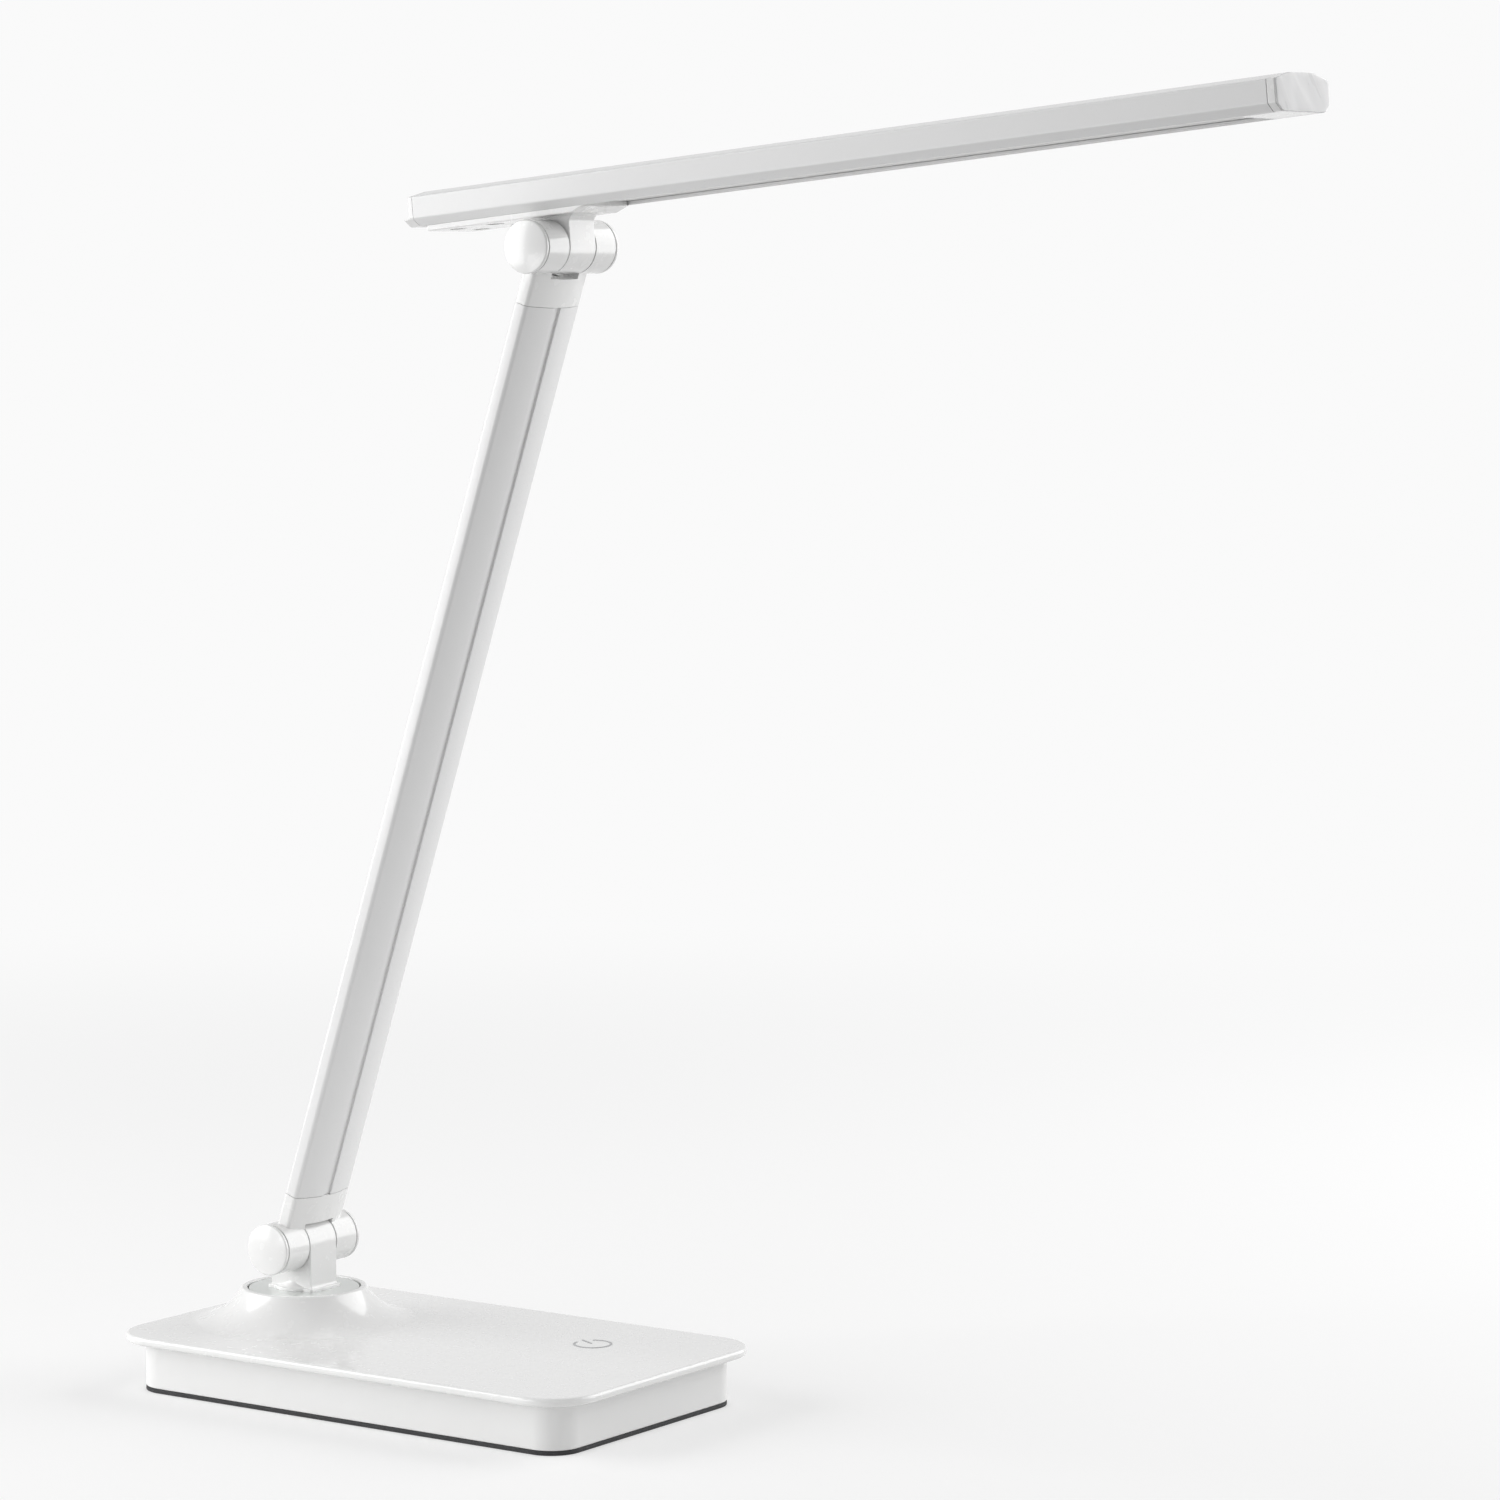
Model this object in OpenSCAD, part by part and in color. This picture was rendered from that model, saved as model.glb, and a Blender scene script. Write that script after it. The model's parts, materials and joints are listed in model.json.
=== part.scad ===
// Folding LED desk lamp: flat base, swivelling turret, slim arm and long light bar.
// Millimetres. Origin on the table under the middle of the base. +Z up, +X to the front.

/* [Base] */
// Length of the base cover, back to front
base_l = 200; // [190:1:230]
// Width of the base cover
base_w = 118; // [108:1:150]
// Corner radius of the cover, seen from above
base_corner_r = 18; // [12:1:30]
// Height of the cover's flat top above the table
base_top_z = 20.7; // [20.5:0.1:26]
// Thickness of the cover's plate and its overhanging rim
rim_t = 3; // [2.6:0.1:4]
// Radius on the rim's edges
rim_round = 1.1; // [0.5:0.1:1.2]
// How far the rim stands out past the tray below it
rim_overhang = 6.8; // [4:0.1:8]
// Wall of the tray
tray_wall = 2.4; // [1.6:0.1:3]
// Floor of the tray
tray_floor = 2.2; // [1.8:0.1:2.6]
// Thickness of the anti-slip pad
pad_t = 1.6; // [1:0.1:2.5]
// Thickness of the cover's locating rib inside the tray
rib_t = 1.6; // [1:0.1:2.2]
// How far the locating rib reaches down into the tray
rib_h = 3; // [1.5:0.1:4]
// Clearance between parts that locate in each other
locate_clear = 0.3; // [0.1:0.05:0.5]

/* [Base fasteners] */
// Distance of the cover screws from the tray's end walls
screw_inset = 9; // [8:0.5:12]
// Radius of the screw bosses under the cover
boss_r = 3.8; // [3.2:0.1:4.5]
// Radius of the tray pillars that the bosses stand on
pillar_r = 5.2; // [4.8:0.1:6]
// Height of the tray pillars above the tray floor
pillar_h = 3; // [2:0.1:4]
// Radius of the cover screws' heads
screw_head_r = 3; // [2.5:0.1:3.4]
// Height of the cover screws' heads
screw_head_h = 2; // [1.6:0.1:2.4]
// Radius of the cover screws' shanks
screw_r = 1.5; // [1.2:0.05:1.8]
// Length of the cover screws' shanks
screw_l = 10; // [8:0.5:12]
// Clearance round a screw's shank in its pilot hole
pilot_clear = 0.05; // [0.02:0.01:0.1]
// Clearance round a screw in a part it passes through
pass_clear = 0.3; // [0.2:0.05:0.5]
// Clearance between a screw's tip and the bottom of its hole
tip_clear = 0.5; // [0.3:0.1:0.7]

/* [Ballast] */
// Room between the steel ballast plate and the tray's end walls
ballast_end_room = 15.8; // [14:0.1:26]
// Room between the ballast plate and the tray's side walls
ballast_side_room = 4.8; // [3.8:0.1:12]
// Thickness of the steel ballast plate
ballast_t = 5; // [3:0.5:6]
// Corner radius of the ballast plate
ballast_corner_r = 6; // [3:0.5:10]
// Distance of the ballast screws from the plate's ends
ballast_screw_x_inset = 15; // [10:1:22]
// Distance of the ballast screws from the plate's sides
ballast_screw_y_inset = 11; // [8:1:16]
// Radius of the tray posts that locate the ballast plate
ballast_post_r = 3; // [2.4:0.1:3.6]
// Radius of the ballast screws' wide heads
ballast_head_r = 5; // [4.4:0.1:6]
// Height of the ballast screws' heads
ballast_head_h = 1.6; // [1.2:0.1:2]
// Radius of the ballast screws' shanks
ballast_screw_r = 1.25; // [1:0.05:1.6]

/* [Neck] */
// Distance of the swivel axis in front of the base's back edge
turret_inset = 41.5; // [41:0.1:44]
// Outer radius of the neck's lip
lip_r = 21.9; // [20:0.1:24]
// Width of the lip round the swivel disc
lip_w = 1.9; // [1.2:0.1:2.4]
// Height of the neck's lip above the table
lip_z = 32.6; // [32:0.1:36]
// Radius at which the flare meets the cover's top
flare_foot_r = 39.2; // [37:0.1:40]
// Radius of the hollow flare's curve
flare_r = 23.5; // [22:0.5:30]
// Wall of the neck
neck_wall = 2.4; // [1.8:0.1:3]
// Thickness of the swivel disc
disc_t = 2.2; // [1.6:0.1:3]
// How far the swivel disc lies below the lip
disc_sink = 0.3; // [0.1:0.1:0.8]
// Clearance round the swivel disc
disc_clear = 0.35; // [0.2:0.05:0.5]
// Outer radius of the bearing tube
bearing_r = 9; // [8:0.1:11]

/* [Swivel] */
// Radius of the hollow swivel spindle
spindle_r = 5; // [4:0.1:5.2]
// Radius of the wire way through the spindle
spindle_bore_r = 2.6; // [2:0.1:3]
// How far the spindle reaches into the turret
spindle_grip = 7; // [5:0.5:8]
// Running clearance of shafts in their bearings
run_clear = 0.05; // [0.02:0.01:0.09]
// Outer radius of the swivel's friction washer
swivel_washer_r = 8.2; // [7:0.1:9]
// Thickness of the swivel's friction washer
swivel_washer_t = 1; // [0.6:0.1:1.4]
// Size of the swivel nut across its flats
swivel_nut_af = 15; // [13:0.5:17]
// Height of the swivel nut
swivel_nut_h = 3.2; // [2.4:0.1:3.6]
// How far the spindle stands out of the nut
spindle_tail = 0.8; // [0.4:0.1:1.2]

/* [Hinges] */
// Height of the lower hinge axis above the table
hinge_z = 48.3; // [46:0.1:54]
// Radius of the hinge barrels
barrel_r = 9; // [8:0.1:9.5]
// Width of the tongues between the yokes' knuckles
tongue_w = 14.3; // [12.5:0.1:16]
// Distance of the knuckles' ends from the middle
knuckle_end = 18.5; // [17.5:0.1:20]
// Thickness of the hinges' friction washers
washer_t = 0.4; // [0.3:0.05:0.8]
// Outer radius of the hinges' friction washers
washer_r = 7.2; // [6:0.1:7.8]
// Gap between a tongue's round end and the yoke above it
slot_gap = 1.4; // [1:0.1:2]
// Height of the turret's foot on the swivel disc
foot_h = 1; // [0.8:0.1:1.5]
// How far the foot stands out past the tongue
foot_out = 1.1; // [0.9:0.1:1.8]
// Radius of the fillets between the tongue's front and back and the foot
foot_fillet = 0.9; // [0.4:0.1:0.9]
// Radius of the round boss at the turret's foot
foot_boss_r = 10.5; // [9.5:0.1:12]
// Radius of the boss's hollow flare
foot_flare_r = 3.9; // [3.6:0.1:4.2]
// Radius of the hinge bolts
bolt_r = 3; // [2.5:0.1:3.2]
// Radius of the hinge bolts' heads
bolt_head_r = 5; // [4.5:0.1:5.3]
// Height of the hinge bolts' heads
bolt_head_h = 2.8; // [2:0.1:3]
// Depth of the hex socket in the bolts' heads
bolt_socket_h = 1.6; // [1:0.1:1.8]
// Size of the bolts' hex socket across its flats
bolt_socket_af = 4; // [3:0.5:5]
// Clearance round a bolt's or screw's head in its pocket
pocket_clear = 0.4; // [0.2:0.1:0.6]
// Gap between a bolt's head and the hinge cap's spigot
bolt_head_gap = 0.5; // [0.3:0.1:0.8]
// Size of the hinge nuts across their flats
nut_af = 9; // [8:0.1:9.4]
// Height of the hinge nuts
nut_h = 2.8; // [2:0.1:3]
// Thickness of the hinge caps' rims
cap_rim_t = 1.2; // [0.8:0.1:1.6]
// Gap between a knuckle and its cap's rim
cap_gap = 0.5; // [0.3:0.1:0.8]
// How far the hinge caps' faces are domed
cap_dome = 1; // [0.5:0.1:1.5]
// Radius of the hinge caps' spigots
spigot_r = 7; // [6.4:0.1:7.4]
// Length of the spigots inside the knuckles
spigot_l = 2.2; // [1.5:0.1:2.6]

/* [Arm] */
// Distance between the two hinge axes
arm_l = 368.9; // [330:0.1:400]
// Forward tilt of the arm, in degrees
arm_tilt = 18.24; // [0:0.01:30]
// Width of the arm
arm_w = 30; // [28:0.1:32]
// Thickness of the arm's flat sides
arm_side_t = 5; // [4:0.1:5.6]
// How far the arm's front and back are domed
arm_bulge = 2.4; // [2.2:0.1:3.4]
// Wall of the arm tube
arm_wall = 1.6; // [1.3:0.1:2]
// Width of the groove down the front and back of the arm
groove_w = 3.3; // [1.5:0.1:4]
// Depth of the groove
groove_h = 0.8; // [0.4:0.1:0.9]
// Distance from the lower hinge axis to the tube's end
lower_seam = 20.2; // [15:0.1:22]
// Distance from the upper hinge axis to the tube's end
upper_seam = 19.9; // [15:0.1:26]
// Length of the yokes' plugs inside the tube
plug_l = 24; // [18:1:40]
// Clearance of the plugs inside the tube
plug_clear = 0.15; // [0.1:0.05:0.3]
// Radius of the lamp lead
lead_r = 1.2; // [0.8:0.1:1.4]
// Clearance round the leads in the holes they pass through
lead_clear = 0.5; // [0.3:0.1:0.7]
// How far the rounded corners of the leads reach along them
lead_bend = 2; // [1:0.1:2.5]
// How far the way for the lamp lead runs on above the spindle
lead_way_up = 4; // [3:0.5:5]
// Distance of the yoke screws from the arm's middle
yoke_screw_y = 8; // [6:0.5:9]
// Radius of the yoke screws' heads
yoke_head_r = 2.2; // [1.8:0.1:2.4]
// Height of the yoke screws' heads
yoke_head_h = 1.6; // [1.2:0.1:1.8]
// Radius of the yoke screws' shanks
yoke_screw_r = 1.2; // [0.9:0.05:1.3]
// Distance between the yoke screws' tips and the arm's front
yoke_screw_room = 3.2; // [3.2:0.1:4]
// Depth of the plug's flat seats below the arm's back
yoke_seat = 3.1; // [2.9:0.1:3.3]

/* [Light bar] */
// Upward tilt of the light bar, in degrees
head_tilt = 5.77; // [0:0.01:20]
// Reach of the light bar in front of its hinge
head_front = 284.8; // [240:0.1:300]
// Reach of the light bar behind its hinge
head_back = 50.9; // [48:0.1:60]
// Width of the light bar
head_w = 33.1; // [31:0.1:36]
// Height of the light bar's underside above its hinge
head_low = 11.9; // [11:0.1:14]
// Height of the lower chamfer
low_chamfer_h = 2.5; // [2:0.1:3]
// Width of the lower chamfer
low_chamfer_w = 3.4; // [2.5:0.1:3.6]
// Height of the light bar's upright sides
head_side_h = 7.5; // [7:0.1:9]
// Height of the upper slopes
top_slope_h = 2; // [1:0.1:3]
// Width of the light bar's flat top
head_flat_w = 14.1; // [10:0.1:20]
// Wall of the light bar's top
head_wall = 1.4; // [1:0.1:1.8]
// Thickness of the web that carries the LED board
web_t = 1.4; // [1:0.1:2]
// Height of the web's underside above the light bar's underside
web_h = 6.1; // [5.9:0.1:6.8]
// Width of the channel in the underside
channel_w = 24; // [22:0.1:24.4]
// Thickness of the lips that hold the diffuser
lip_t = 1.2; // [0.9:0.1:1.5]
// Thickness of the diffuser
diffuser_t = 1.5; // [1:0.1:1.8]
// How far the diffuser's edges reach behind the lips
diffuser_edge = 1.3; // [0.8:0.1:1.6]
// Clearance of the diffuser in its grooves
diffuser_clear = 0.15; // [0.1:0.05:0.3]
// Thickness of the front cap's end plate
front_cap_t = 3.7; // [2.5:0.1:5]
// Length of the front cap's tongue that closes the channel
front_tongue_l = 13.4; // [8:0.1:20]
// Thickness of the rear cap
rear_cap_t = 2; // [1.5:0.1:3]
// How far the rear cap's lower lip stands out
rear_lip = 2.1; // [1:0.1:3]
// Length of the end caps' lugs inside the light bar
lug_l = 6; // [4:0.5:10]
// Clearance of the lugs
lug_clear = 0.2; // [0.1:0.05:0.3]
// Gap at the ends of the diffuser and of the LED board
end_gap = 0.5; // [0.3:0.1:1]
// Distance of the hole for the LEDs' lead in front of the bracket
head_lead_ahead = 8; // [4:0.5:12]

/* [LEDs] */
// Width of the LED board
led_board_w = 20; // [16:0.5:22]
// Thickness of the LED board
led_board_t = 1.2; // [0.8:0.1:1.6]
// Distance between neighbouring LEDs
led_pitch = 12; // [8:0.5:20]
// Distance of the two rows of LEDs from the middle
led_row_y = 4.5; // [3:0.5:7]
// Length of an LED
led_l = 3.5; // [2.5:0.1:4]
// Width of an LED
led_w = 2.8; // [2:0.1:3.2]
// Height of an LED
led_h = 0.7; // [0.5:0.1:0.9]

/* [Head bracket] */
// Thickness of the bracket's plate below the light bar
bracket_t = 2; // [1.6:0.1:2.2]
// Width of the bracket's plate
bracket_w = 26; // [24:0.1:26.2]
// Reach of the plate behind the hinge
bracket_back = 46.2; // [40:0.1:46.8]
// Reach of the plate in front of the hinge
bracket_front = 14.6; // [13:0.1:17]
// Length of the plate's sloped front end
bracket_slope = 5.6; // [3:0.1:8]
// Radius of the fillets between tongue and plate
bracket_fillet = 3; // [1:0.1:3.5]
// Clearance of the bracket's block in the channel
block_clear = 0.2; // [0.1:0.05:0.3]
// Distance of the first pair of bracket screws behind the hinge
bracket_screw_near = 22; // [18:0.5:24]
// Distance of the second pair of bracket screws behind the hinge
bracket_screw_far = 38; // [34:0.5:41]
// Distance of the bracket screws from the middle
bracket_screw_y = 6.5; // [5:0.5:7.5]
// Radius of the bracket screws' heads
bracket_head_r = 2.75; // [2:0.05:3]
// Height of the bracket screws' heads
bracket_head_h = 2.2; // [1.6:0.1:2.6]
// Radius of the bracket screws' shanks
bracket_screw_r = 1.5; // [1:0.05:1.6]
// How far the bracket screws' heads are sunk in the plate
bracket_head_sink = 0.3; // [0.1:0.1:0.6]

/* [Electronics] */
// Distance of the touch symbol behind the base's front edge
symbol_inset = 48.3; // [38:0.1:52]
// Distance of the touch symbol to the left of the base's middle
symbol_y = 22.8; // [19:0.1:30]
// Outer radius of the touch symbol
symbol_r = 6.8; // [5:0.1:9]
// Line width of the touch symbol
symbol_line = 0.75; // [0.5:0.05:1.2]
// Length of the touch symbol's bar
symbol_bar = 7; // [4:0.1:9]
// Opening of the touch symbol's ring, in degrees
symbol_gap = 58; // [40:1:90]
// Direction of the symbol's bar seen from above, in degrees
symbol_turn = 155; // [0:1:360]
// Thickness of the printed symbol
symbol_t = 0.12; // [0.08:0.01:0.2]
// Side of the touch sensor board
touch_side = 22; // [18:0.5:26]
// Thickness of the circuit boards
pcb_t = 1.6; // [1:0.1:1.6]
// Length of the driver board
driver_l = 56; // [46:1:60]
// Width of the driver board
driver_w = 38; // [34:1:42]
// How far the driver board reaches back under the neck's foot
driver_under = 2.7; // [0:0.1:3.5]
// Distance of the driver board's middle to the right of the base's middle
driver_y = -12; // [-16:0.5:-8]
// Length of the posts that hold the driver board under the cover
driver_post_h = 3.2; // [3:0.1:3.4]
// Radius of those posts
driver_post_r = 2.6; // [2:0.1:3]
// Distance of the board's screws from its edges
driver_screw_inset = 4; // [3.2:0.1:6]
// Radius of the board screws' heads
board_head_r = 2; // [1.7:0.1:2.4]
// Height of the board screws' heads
board_head_h = 1.2; // [0.8:0.1:1.4]
// Radius of the board screws' shanks
board_screw_r = 1; // [0.7:0.05:1.2]
// Length of the power inlet's body
jack_l = 12.4; // [11:0.1:13]
// Width of the power inlet's body
jack_w = 9.4; // [9.2:0.1:11]
// Height of the power inlet's body
jack_h = 11; // [10:0.1:12]
// Radius of the power inlet's round nose
jack_nose_r = 4.5; // [4:0.1:4.6]
// Radius of the power inlet's socket
jack_socket_r = 3.15; // [3:0.05:3.3]
// Depth of the power inlet's socket
jack_socket_h = 9.5; // [8:0.1:10]
// Radius of the power inlet's centre pin
jack_pin_r = 1.05; // [0.8:0.05:1.25]
// How far the centre pin ends inside the socket's mouth
jack_pin_sink = 0.8; // [0.4:0.1:1.5]
// How far the inlet's nose ends inside the tray's outer face
jack_sink = 0.3; // [0.1:0.1:0.6]
// Room in the locating rib on either side of the inlet
jack_room = 1; // [0.5:0.1:2]
// How far the leads run straight out of the inlet and the driver board
lead_run = 5; // [3:0.5:8]
// Distance of the lead sockets from the middle of the driver board
socket_y = 7; // [4:0.5:8]
// How far the lead sockets stand out past the driver board's back edge
socket_out = 0.5; // [0.2:0.1:1]

/* [Hidden] */
$fn = 96;
// Overlap that keeps cuts clean
eps = 0.01;
// Reach of cuts that run out of a part
far = 60;

// Length and width of a cross recess, as shares of the head's radius
cross_l = 1.1;
cross_w = 0.28;

// Base levels and outlines
tray_l = base_l - 2 * rim_overhang;
tray_w = base_w - 2 * rim_overhang;
tray_corner_r = base_corner_r - rim_overhang;
cover_under_z = base_top_z - rim_t;
tray_top_z = pad_t + tray_floor;
ballast_top_z = tray_top_z + ballast_t;
boss_low_z = tray_top_z + pillar_h;
ballast_l = tray_l - 2 * (tray_wall + ballast_end_room);
ballast_w = tray_w - 2 * (tray_wall + ballast_side_room);
screw_x = tray_l / 2 - screw_inset;
screw_y = tray_w / 2 - screw_inset;
ballast_screw_x = ballast_l / 2 - ballast_screw_x_inset;
ballast_screw_y = ballast_w / 2 - ballast_screw_y_inset;
ballast_screw_l = ballast_t - tip_clear;

// Neck and swivel
turret_back = base_l / 2 - turret_inset;
disc_r = lip_r - lip_w - disc_clear;
disc_top_z = lip_z - disc_sink;
disc_low_z = disc_top_z - disc_t;
spindle_top_z = disc_top_z + spindle_grip;
washer_low_z = cover_under_z - swivel_washer_t;
swivel_nut_low_z = washer_low_z - swivel_nut_h;
spindle_low_z = swivel_nut_low_z - spindle_tail;
foot_top_z = disc_top_z + foot_h;

// The flare's curve runs through the lip's edge and the foot
flare_run = flare_foot_r - lip_r;
flare_rise = lip_z - base_top_z;
flare_chord = sqrt(flare_run * flare_run + flare_rise * flare_rise);
flare_back = sqrt(flare_r * flare_r - flare_chord * flare_chord / 4);
flare_cx = (lip_r + flare_foot_r) / 2 + flare_back * flare_rise / flare_chord;
flare_cz = (lip_z + base_top_z) / 2 + flare_back * flare_run / flare_chord;

// Hinges
knuckle_in = tongue_w / 2 + washer_t;
slot_floor = barrel_r + slot_gap;
pocket_r = bolt_head_r + pocket_clear;
pocket_floor = knuckle_end - spigot_l - locate_clear - bolt_head_h - bolt_head_gap;
upper_x = -turret_back + arm_l * sin(arm_tilt);
upper_z = hinge_z + arm_l * cos(arm_tilt);

// Arm section
arm_t = arm_side_t + 2 * arm_bulge;
yoke_screw_l = arm_t - yoke_seat - yoke_screw_room;
arm_dome_r = (arm_w * arm_w / 4 + arm_bulge * arm_bulge) / (2 * arm_bulge);
tube_l = arm_l - lower_seam - upper_seam;
lead_way_r = lead_r + lead_clear;

// Light bar levels, measured from the upper hinge axis
side_low = head_low + low_chamfer_h;
side_high = side_low + head_side_h;
head_top = side_high + top_slope_h;
underside_w = head_w - 2 * low_chamfer_w;
web_low = head_low + web_h;
web_high = web_low + web_t;
roof_z = head_top - head_wall;
groove_low = head_low + lip_t;
diffuser_w = channel_w + 2 * diffuser_edge;
board_low = web_low - led_board_t;
profile_back = head_back - rear_cap_t;
profile_front = head_front - front_cap_t;
plate_low = head_low - bracket_t;
block_front = bracket_front + bracket_slope;
diffuser_back = block_front + end_gap;
diffuser_front = profile_front - front_tongue_l;
led_count = floor((diffuser_front - diffuser_back - led_pitch) / led_pitch);
head_lead_x = block_front + head_lead_ahead;

// Components under the circuit boards, each as length, width and height
touch_chip = [5, 4, 1.2];
touch_plug = [4, 8, 2.4];
lead_socket = [6, 5, 2.6];
coil_r = 6;
coil_h = 2.6;
coil_x = 8;
// Chips and capacitors of the driver board: x, y and size
driver_chips = [
    [-9, 8, [5, 4, 2]], [-9, -12, [7, 5, 1.4]],
    [17, -9, [3, 2, 1.2]], [17, -1, [3, 2, 1.2]], [17, 7, [3, 2, 1.2]]
];

// Electronics
symbol_x = base_l / 2 - symbol_inset;
driver_x = driver_l / 2 + flare_foot_r - turret_back - driver_under;
jack_x = -tray_l / 2 + tray_wall;
jack_z = tray_top_z + jack_h / 2;
board_top_z = cover_under_z - driver_post_h;
board_low_z = board_top_z - pcb_t;
lead_z = ballast_top_z + lead_r + locate_clear;
socket_back = driver_x - driver_l / 2 - socket_out;
power_lead_y = driver_y - socket_y;
lamp_lead_y = driver_y + socket_y;
socket_z = board_low_z - lead_socket[2] / 2;

// ---- outlines and helpers ----

// Rectangle with round corners
module rounded_rect(l, w, r) {
    square([l - 2 * r, w], center = true);
    square([l, w - 2 * r], center = true);
    for (x = [-1, 1], y = [-1, 1])
        translate([x * (l / 2 - r), y * (w / 2 - r)]) circle(r = r);
}

// Slab with round corners and rounded edges all round
module rounded_slab(l, w, r, t, e) {
    translate([0, 0, t / 2]) {
        rotate([90, 0, 0]) linear_extrude(w - 2 * r, center = true) rounded_rect(l, t, e);
        rotate([90, 0, 90]) linear_extrude(l - 2 * r, center = true) rounded_rect(w, t, e);
        for (x = [-1, 1], y = [-1, 1])
            translate([x * (l / 2 - r), y * (w / 2 - r), 0])
                rotate_extrude() intersection() {
                    rounded_rect(2 * r, t, e);
                    translate([0, -t / 2]) square([r, t]);
                }
    }
}

// Outline of the arm: flat sides, domed front and back; x is the thickness, y the width
module arm_outline(inset = 0) {
    intersection() {
        dome_circle(1, inset);
        dome_circle(-1, inset);
        square([2 * arm_t, arm_w - 2 * inset], center = true);
    }
}
module dome_circle(side, inset) {
    translate([side * (arm_t / 2 - arm_dome_r), 0]) circle(r = arm_dome_r - inset, $fn = 256);
}

// Outline of the light bar: x is the width, y the height above the hinge axis
module head_outline() {
    polygon([
        [-underside_w / 2, head_low], [-head_w / 2, side_low], [-head_w / 2, side_high],
        [-head_flat_w / 2, head_top], [head_flat_w / 2, head_top], [head_w / 2, side_high],
        [head_w / 2, side_low], [underside_w / 2, head_low]
    ]);
}

// Upper chamber of the light bar
module chamber_outline(inset = 0) {
    half = head_w / 2 - head_wall - inset;
    low = web_high + inset;
    shoulder = side_high - head_wall - inset;
    polygon([
        [-half, low], [-half, shoulder], [-head_flat_w / 2 + inset, roof_z - inset],
        [head_flat_w / 2 - inset, roof_z - inset], [half, shoulder], [half, low]
    ]);
}

// Prism along Y with a hollow quarter-round between two square faces
module fillet_prism(len, r) {
    rotate([90, 0, 0]) linear_extrude(len, center = true) difference() {
        translate([-eps, -eps]) square([r + eps, r + eps]);
        translate([r, r]) circle(r = r);
    }
}

// Cylinder along Y between two distances from the middle
module across(from, to, r, side = 1) {
    rotate([-side * 90, 0, 0]) translate([0, 0, from]) cylinder(r = r, h = to - from);
}

function unit(v) = v / norm(v);

// Route with each inner corner replaced by a short curve
function rounded_route(p, r) = [
    p[0],
    for (i = [1 : len(p) - 2], t = [0 : 0.25 : 1])
        let (from = p[i] - r * unit(p[i] - p[i - 1]), to = p[i] + r * unit(p[i + 1] - p[i]))
            (1 - t) * (1 - t) * from + 2 * t * (1 - t) * p[i] + t * t * to,
    p[len(p) - 1]
];

// Round lead along a route; aside is a direction that the route never takes
module lead(points, r, aside) {
    route = rounded_route(points, lead_bend);
    last = len(route) - 1;
    sides = 8;
    rings = [
        for (i = [0 : last])
            let (along = unit(route[min(i + 1, last)] - route[max(i - 1, 0)]))
            let (a = unit(cross(along, aside)), b = cross(along, a))
                for (k = [0 : sides - 1])
                    route[i] + r * (cos(k * 360 / sides) * a + sin(k * 360 / sides) * b)
    ];
    walls = [
        for (i = [0 : last - 1], k = [0 : sides - 1])
            let (here = i * sides + k, next = i * sides + (k + 1) % sides)
                each [[here, here + sides, next], [next, here + sides, next + sides]]
    ];
    first_end = [for (k = [0 : sides - 1]) k];
    last_end = [for (k = [sides - 1 : -1 : 0]) last * sides + k];
    polyhedron(points = rings, faces = concat([first_end], [last_end], walls));
}

module at_turret() { translate([-turret_back, 0, 0]) children(); }
module on_arm() { translate([-turret_back, 0, hinge_z]) rotate([0, arm_tilt, 0]) children(); }
module on_arm_top() { on_arm() translate([0, 0, arm_l]) rotate([180, 0, 0]) children(); }
module on_head() { translate([upper_x, 0, upper_z]) rotate([0, -head_tilt, 0]) children(); }
module along_head(from, to) {
    translate([from, 0, 0]) rotate([90, 0, 90]) linear_extrude(to - from) children();
}
module at_corners(x, y) { for (i = [-1, 1], j = [-1, 1]) translate([i * x, j * y, 0]) children(); }

// ---- base ----

module neck_profile() {
    difference() {
        translate([0, cover_under_z]) square([flare_foot_r, lip_z - cover_under_z]);
        translate([flare_cx, flare_cz]) circle(r = flare_r, $fn = 256);
        // seat of the swivel disc
        translate([-eps, disc_low_z]) square([lip_r - lip_w + eps, far]);
        // hollow round the bearing tube
        difference() {
            translate([bearing_r, -eps]) square([flare_foot_r, disc_low_z - neck_wall + eps]);
            translate([flare_cx, flare_cz]) circle(r = flare_r + neck_wall, $fn = 256);
        }
        translate([-eps, 0]) square([spindle_r + run_clear + eps, far]);
    }
}

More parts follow.
